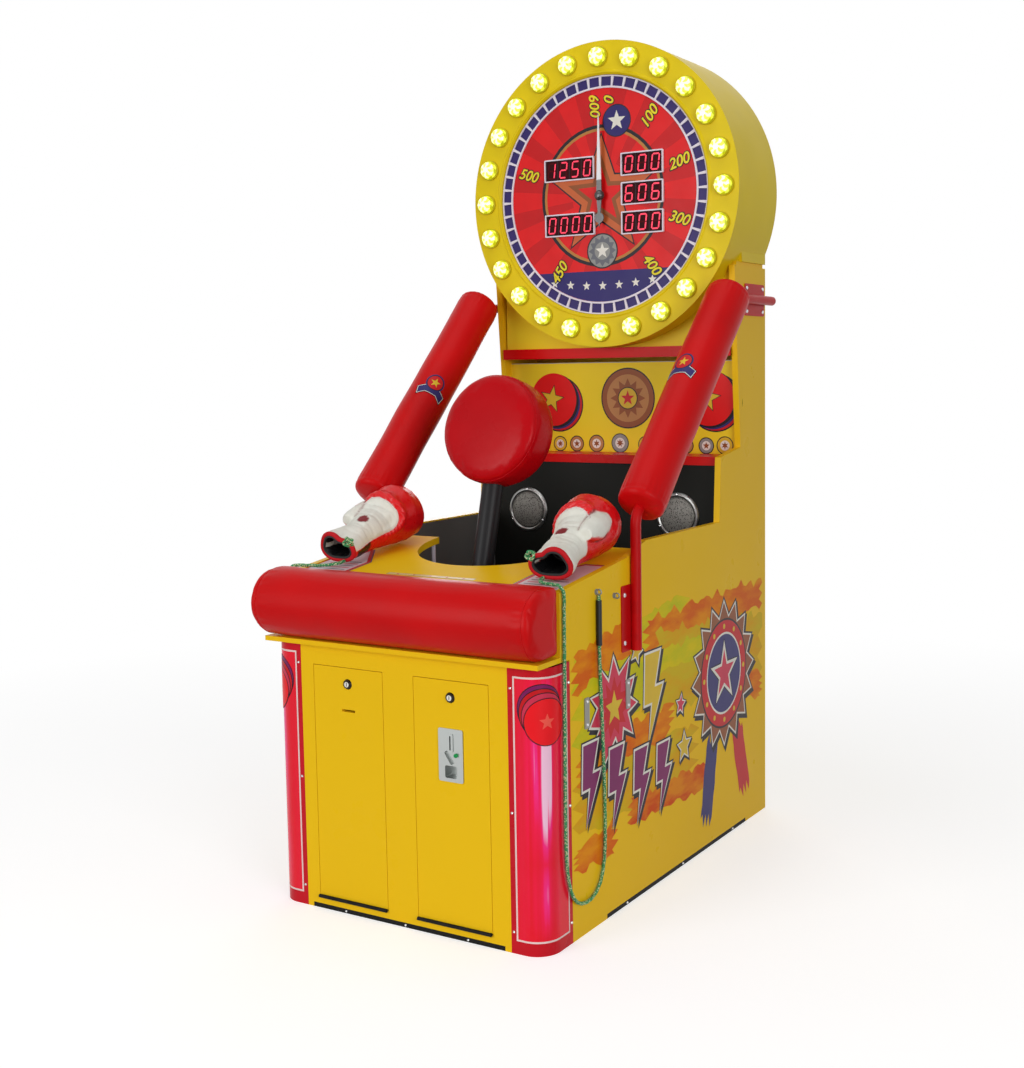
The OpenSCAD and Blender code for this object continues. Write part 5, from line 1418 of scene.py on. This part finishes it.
def make_dial_print():
    """Rays, a star in a ring, two roundels and a starry foot on the dial; the glow of its windows."""
    inner = 0.3085
    shapes = discs(0, 0, 0, (inner + 0.001, "dial_red"), count=120)
    for a in (tau * (k + 0.5) / 16 for k in range(16)):
        shapes.append((wedge(0.10, inner, a - 0.09, a + 0.09, 4), "dial_deep", 1))
    shapes.append((sorted(p for p in disc(0, 0, inner, 160) if p[1] < -0.215), "dial_blue", 4))
    for u in (-0.165 + 0.055 * k for k in range(7)):
        shapes += stars(u, -0.244 - 0.018 * (1 - (u / 0.2) ** 2), 5, (0.014, 0.006, "white"))
    shapes += wedges(0.196, 0.206, 24, 2, "black", 2) + wedges(0.188, 0.196, 24, 2, "dial_gold", 2)
    shapes += stars(0, 0, 3, (0.186, 0.078, "black"), (0.176, 0.072, "amber_ink"), (0.120, 0.049, "brown"),
                    (0.084, 0.034, "dial_red"))
    u, v = 0.052, 0.212
    shapes += discs(u, v, 4, (0.047, "black"), (0.044, "dial_blue"), count=40)
    shapes += stars(u, v, 6, (0.030, 0.0125, "white"))
    u, v = 0, -0.160
    shapes += discs(u, v, 6, (0.052, "black"), (0.048, "grey"), count=40)
    shapes += stars(u, v, 8, (0.046, 0.034, "steel_ink"), points=12)
    shapes += discs(u, v, 9, (0.026, "grey"), count=32) + stars(u, v, 10, (0.024, 0.010, "white"))
    printed("dial_print", dial_place(DIAL_D), shapes, "cabinet", base=0.00015, step=0.00008)
    windows = wedges(0.309, 0.3449, 104, 1, "violet", 0)
    printed("window_glow", dial_place(DIAL_D), windows, "cabinet", base=0.0002)


make_dial_print()


# Each number with its angle from the top, in degrees

NUMBERS = ((6, "0"), (37, "100"), (73, "200"), (108, "300"), (142, "400"), (214, "450"), (287, "500"),
           (355, "600"))


def written(text, size, material, place, turn, swell):
    """Plain figures as flat outlines from the built-in typeface, on a plane that faces the front."""
    curve = bpy.data.curves.new("figure", "FONT")
    curve.body, curve.size, curve.offset = text, size, swell
    curve.align_x = curve.align_y = "CENTER"
    curve.shear = 0.25
    curve.extrude = 0.0001
    made = linked("figure", curve)
    graph = bpy.context.evaluated_depsgraph_get()
    mesh = bpy.data.meshes.new_from_object(made.evaluated_get(graph))
    bpy.data.objects.remove(made)
    mesh.transform(Matrix.Translation(place) @ Matrix.Rotation(-turn, 4, "Y") @ Matrix.Rotation(pi / 2, 4, "X"))
    return painted(linked("figure", mesh), material)


def make_numbers():
    """The dial's numbers, each a yellow figure on a dark one that is a little fatter."""
    pieces = []
    for at, text in NUMBERS:
        a = radians(at)
        r = 0.264 if len(text) > 1 else 0.272
        turn = (pi / 2 if at < 180 else -pi / 2) - a
        for swell, look, lift in ((0.0032, "black", 0.0013), (0.0008, "number_yellow", 0.0017)):
            place = dial_place(DIAL_D)(r * sin(a), r * cos(a), lift)
            pieces.append(written(text, 0.044, INK[look], place, turn, swell))
    rides(joined("dial_numbers", pieces), "cabinet")


make_numbers()


# The lit bars of each figure; each display's middle, width and figures

SEGMENTS = {"0": "abcdef", "1": "bc", "2": "abged", "5": "afgcd", "6": "afgedc"}
DISPLAYS = ((-0.107, 0.084, 0.170, "1250"), (-0.107, -0.078, 0.170, "0000"), (0.136, 0.084, 0.137, "000"),
            (0.136, 0.0, 0.137, "606"), (0.136, -0.084, 0.137, "000"))
DISPLAY_H, DISPLAY_RIM, DISPLAY_D = 0.066, 0.0075, 1.022


def digit_materials():
    lit = Shader("digit_lit", srgb(226, 30, 60), Roughness=0.4,
                 Emission_Color=srgb(255, 40, 84), Emission_Strength=0.7)
    off = Shader("digit_off", srgb(84, 6, 16), Roughness=0.4, Specular_IOR_Level=0.05)
    cell = Shader("digit_cell", srgb(46, 5, 12), Roughness=0.4, Specular_IOR_Level=0.05)
    cell.out("Base Color", cell.varied(srgb(52, 8, 14), 0.2, 30))
    for s in (lit, off):
        s.grain(300, 2, 0.0001, 0.2)
    return {s.material.name: s.material for s in (lit, off, cell)}


def digit_shapes(u, v, w, h, lit):
    """Seven bars of a leaning figure; the unlit bars stay faintly visible."""
    t, shear = w * 0.17, 0.12
    x, y = w / 2 - t / 2, h / 2 - t / 2
    bars = {"a": (-x, y, x, y), "b": (x, y, x, 0), "c": (x, 0, x, -y), "d": (-x, -y, x, -y),
            "e": (-x, 0, -x, -y), "f": (-x, y, -x, 0), "g": (-x, 0, x, 0)}
    shapes = []
    for key, (x0, y0, x1, y1) in bars.items():
        a, b = Vector((x0, y0)), Vector((x1, y1))
        along = (b - a).normalized() * t
        side = Vector((-along.y, along.x)) / 2
        ends = [a + along * 0.15, a + along * 0.6 + side, b - along * 0.6 + side, b - along * 0.15,
                b - along * 0.6 - side, a + along * 0.6 - side]
        outline = [(u + p.x + shear * p.y, v + p.y) for p in ends]
        shapes.append((outline, "digit_lit" if key in lit else "digit_off", 2))
    return shapes


def make_digits():
    """Red figures in the cells of the five displays."""
    shapes = []
    for u, v, w, text in DISPLAYS:
        half_w, half_h = (w - DISPLAY_RIM) / 2, (DISPLAY_H - DISPLAY_RIM) / 2
        shapes.append((box(u - half_w, v - half_h, u + half_w, v + half_h), "black", 0))
        one = 2 * half_w / len(text)
        cell_w, cell_h = one / 2 - 0.0012, half_h - 0.001
        for k, figure in enumerate(text):
            at = u - half_w + one * (k + 0.5)
            shapes.append((box(at - cell_w, v - cell_h, at + cell_w, v + cell_h), "digit_cell", 1))
            shapes += digit_shapes(at, v, one * 0.62, half_h * 1.64, SEGMENTS[figure])
    printed("display_digits", dial_place(DISPLAY_D), shapes, "cabinet",
            base=0.0003, step=0.0003)


INK.update(digit_materials())
make_digits()


LAMP_RINGS = [(0.0268, 0.0), (0.0270, 0.0045), (0.0238, 0.0122), (0.0170, 0.0182), (0.0088, 0.0213)]
LAMP_TIP, LAMP_SIDES, LAMP_COUNT, LAMP_AT = 0.022, 12, 24, 0.397


def lamp_material(name, color, glow, strength):
    s = Shader(name, srgb(*color), Roughness=0.15, Emission_Color=srgb(*glow), Emission_Strength=strength,
               Coat_Weight=0.4, Coat_Roughness=0.05)
    s.grain(240, 2, 0.0002, 0.3)
    return s.material


def make_lamps():
    """Faceted lamp covers, lit from inside: the middle facets are the brightest."""
    looks = [lamp_material("lamp_core", (252, 255, 196), (250, 255, 184), 0.95),
             lamp_material("lamp_mid", (236, 250, 70), (236, 252, 84), 0.58),
             lamp_material("lamp_rim", (206, 214, 24), (210, 222, 26), 0.32)]
    bm = bmesh.new()
    for a in (tau * lamp / LAMP_COUNT for lamp in range(LAMP_COUNT)):
        centre = Vector((LAMP_AT * sin(a), y_of(RING_D - 0.007), DIAL_Z + LAMP_AT * cos(a)))
        verts = [[bm.verts.new(centre + Vector((r * c, -out, r * s)))
                  for c, s in circle(LAMP_SIDES, a + pi / LAMP_SIDES * (j % 2))]
                 for j, (r, out) in enumerate(LAMP_RINGS)]
        tip = bm.verts.new(centre + Vector((0, -LAMP_TIP, 0)))
        for j, (low, high) in enumerate(zip(verts, verts[1:])):
            for k in range(LAMP_SIDES):
                n = (k + 1) % LAMP_SIDES
                tris = ((low[k], low[n], high[k]), (low[n], high[n], high[k]))
                if j % 2:
                    tris = ((low[k], low[n], high[n]), (low[k], high[n], high[k]))
                for i, tri in enumerate(tris):
                    bm.faces.new(tri).material_index = (2 if j < 2 else 1) - (i + k + j) % 2
        for k in range(LAMP_SIDES):
            bm.faces.new((verts[-1][k], verts[-1][(k + 1) % LAMP_SIDES], tip))
    bmesh.ops.recalc_face_normals(bm, faces=bm.faces)
    lamps = rides(from_bmesh("lamp_covers", bm, looks), "cabinet")
    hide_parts("bulb_lenses")


make_lamps()


SPEAKER_X, SPEAKER_Z = 0.255, 0.924
DOME_DEPTH, SCREW_DEPTH, SCREW_CIRCLE = 0.9945, 0.992, 0.0625
DOME_PROFILE = [(0.0565 * k / 9, 0.0045 * (1 - (k / 9) ** 2)) for k in range(1, 10)]
SCREW_PROFILE = [(0.0038, -0.001), (0.0038, 0.00072), (0.003268, 0.00144), (0.0019, 0.0018), (0.00038, 0.0018)]


def lathed(name, at, profile, count, material):
    """A round form that faces the front: its profile is (radius, height) about a place."""
    rings = [[Vector(at) + Vector((r * c, -out, r * s)) for c, s in circle(count)] for r, out in profile]
    return painted(ring_skin(rings, name), material)


def make_speaker_domes():
    """Perforated steel domes inside the bezels, with three bright screws each."""
    s = Shader("perforated", Metallic=0.6)
    holes = s.step(s.cells(260), 0.34, 0.14)
    s.out("Base Color", s.mix(holes, srgb(16, 16, 16), srgb(120, 118, 112)))
    s.rough(0.35, 0.2, 30, 3)
    s.bump(holes, 0.0006, 0.6)
    screw = metal("bright_screw", srgb(214, 214, 216), 0.2).material
    parts = []
    for x in (-SPEAKER_X, SPEAKER_X):
        parts.append(lathed("dome", (x, y_of(DOME_DEPTH), SPEAKER_Z), DOME_PROFILE, 48, s.material))
        for a in (radians(90), radians(210), radians(330)):
            at = (x + SCREW_CIRCLE * cos(a), y_of(SCREW_DEPTH), SPEAKER_Z + SCREW_CIRCLE * sin(a))
            parts.append(lathed("bead", at, SCREW_PROFILE, 20, screw))
    rides(joined("speaker_domes", parts), "cabinet")


make_speaker_domes()


# Floor, backdrop and lights. A light is its name, place, the height that it is aimed at, size and power.

AMBIENT = 0.27
WHITE = (1, 1, 1, 1)
LIGHTS = (
    ("key", (-1.8, -5.2, 1.9), 1.1, (2.6, 2.6), 110), ("fill", (4.2, -3.0, 1.7), 1.0, (2.2, 2.6), 93),
    ("top", (0.2, -0.6, 4.6), 1.0, (2.6, 2.6), 25), ("back", (-2.4, 4.6, 2.3), 1.1, (3.0, 2.6), 62),
)


def make_stage():
    """A pale floor whose far part, like the world, is plain white to the camera and in reflections."""
    floor = new_mesh("floor", [(-8, -8, 0), (8, -8, 0), (8, 8, 0), (-8, 8, 0)], [(0, 1, 2, 3)], smooth=False)
    pale = srgb(208, 208, 208)
    s = Shader("pale_floor", pale, Roughness=0.8, Specular_IOR_Level=0.0, Emission_Color=WHITE)
    spot = s.node("ShaderNodeVectorMath", {0: s.stretched((1, 1, 0))}, operation="LENGTH").outputs["Value"]
    far = s.step(spot, 2.4, 2.4)
    s.out("Base Color", s.mix(far, s.varied(pale, 0.01, 1.5), (0, 0, 0, 1)))
    s.out("Emission Strength", s.mul(s.seen(), s.math("MULTIPLY_ADD", far, 0.42, 0.58)))
    painted(floor, s.material)
    world = bpy.data.worlds.new("studio")
    bpy.context.scene.world = world
    world.use_nodes = True
    sky = Nodes(world.node_tree)
    level = sky.node("ShaderNodeMapRange", {"Value": sky.seen(), "To Min": AMBIENT, "To Max": 1.0}).outputs[0]
    background = world.node_tree.nodes["Background"]
    sky.put(background, "Strength", level)
    sky.put(background, "Color", WHITE)


def make_lights():
    """Soft boxes, each aimed at a height on the machine's middle line."""
    for name, at, height, size, power in LIGHTS:
        data = bpy.data.lights.new(name, "AREA")
        data.shape = "RECTANGLE"
        data.size, data.size_y = size
        data.energy = power
        light = linked(name, data)
        light.location = at
        light.rotation_euler = (Vector((0, 0, height)) - Vector(at)).to_track_quat("-Z", "Y").to_euler()


make_stage()
make_lights()

scene = bpy.context.scene
scene.view_settings.view_transform = "Standard"
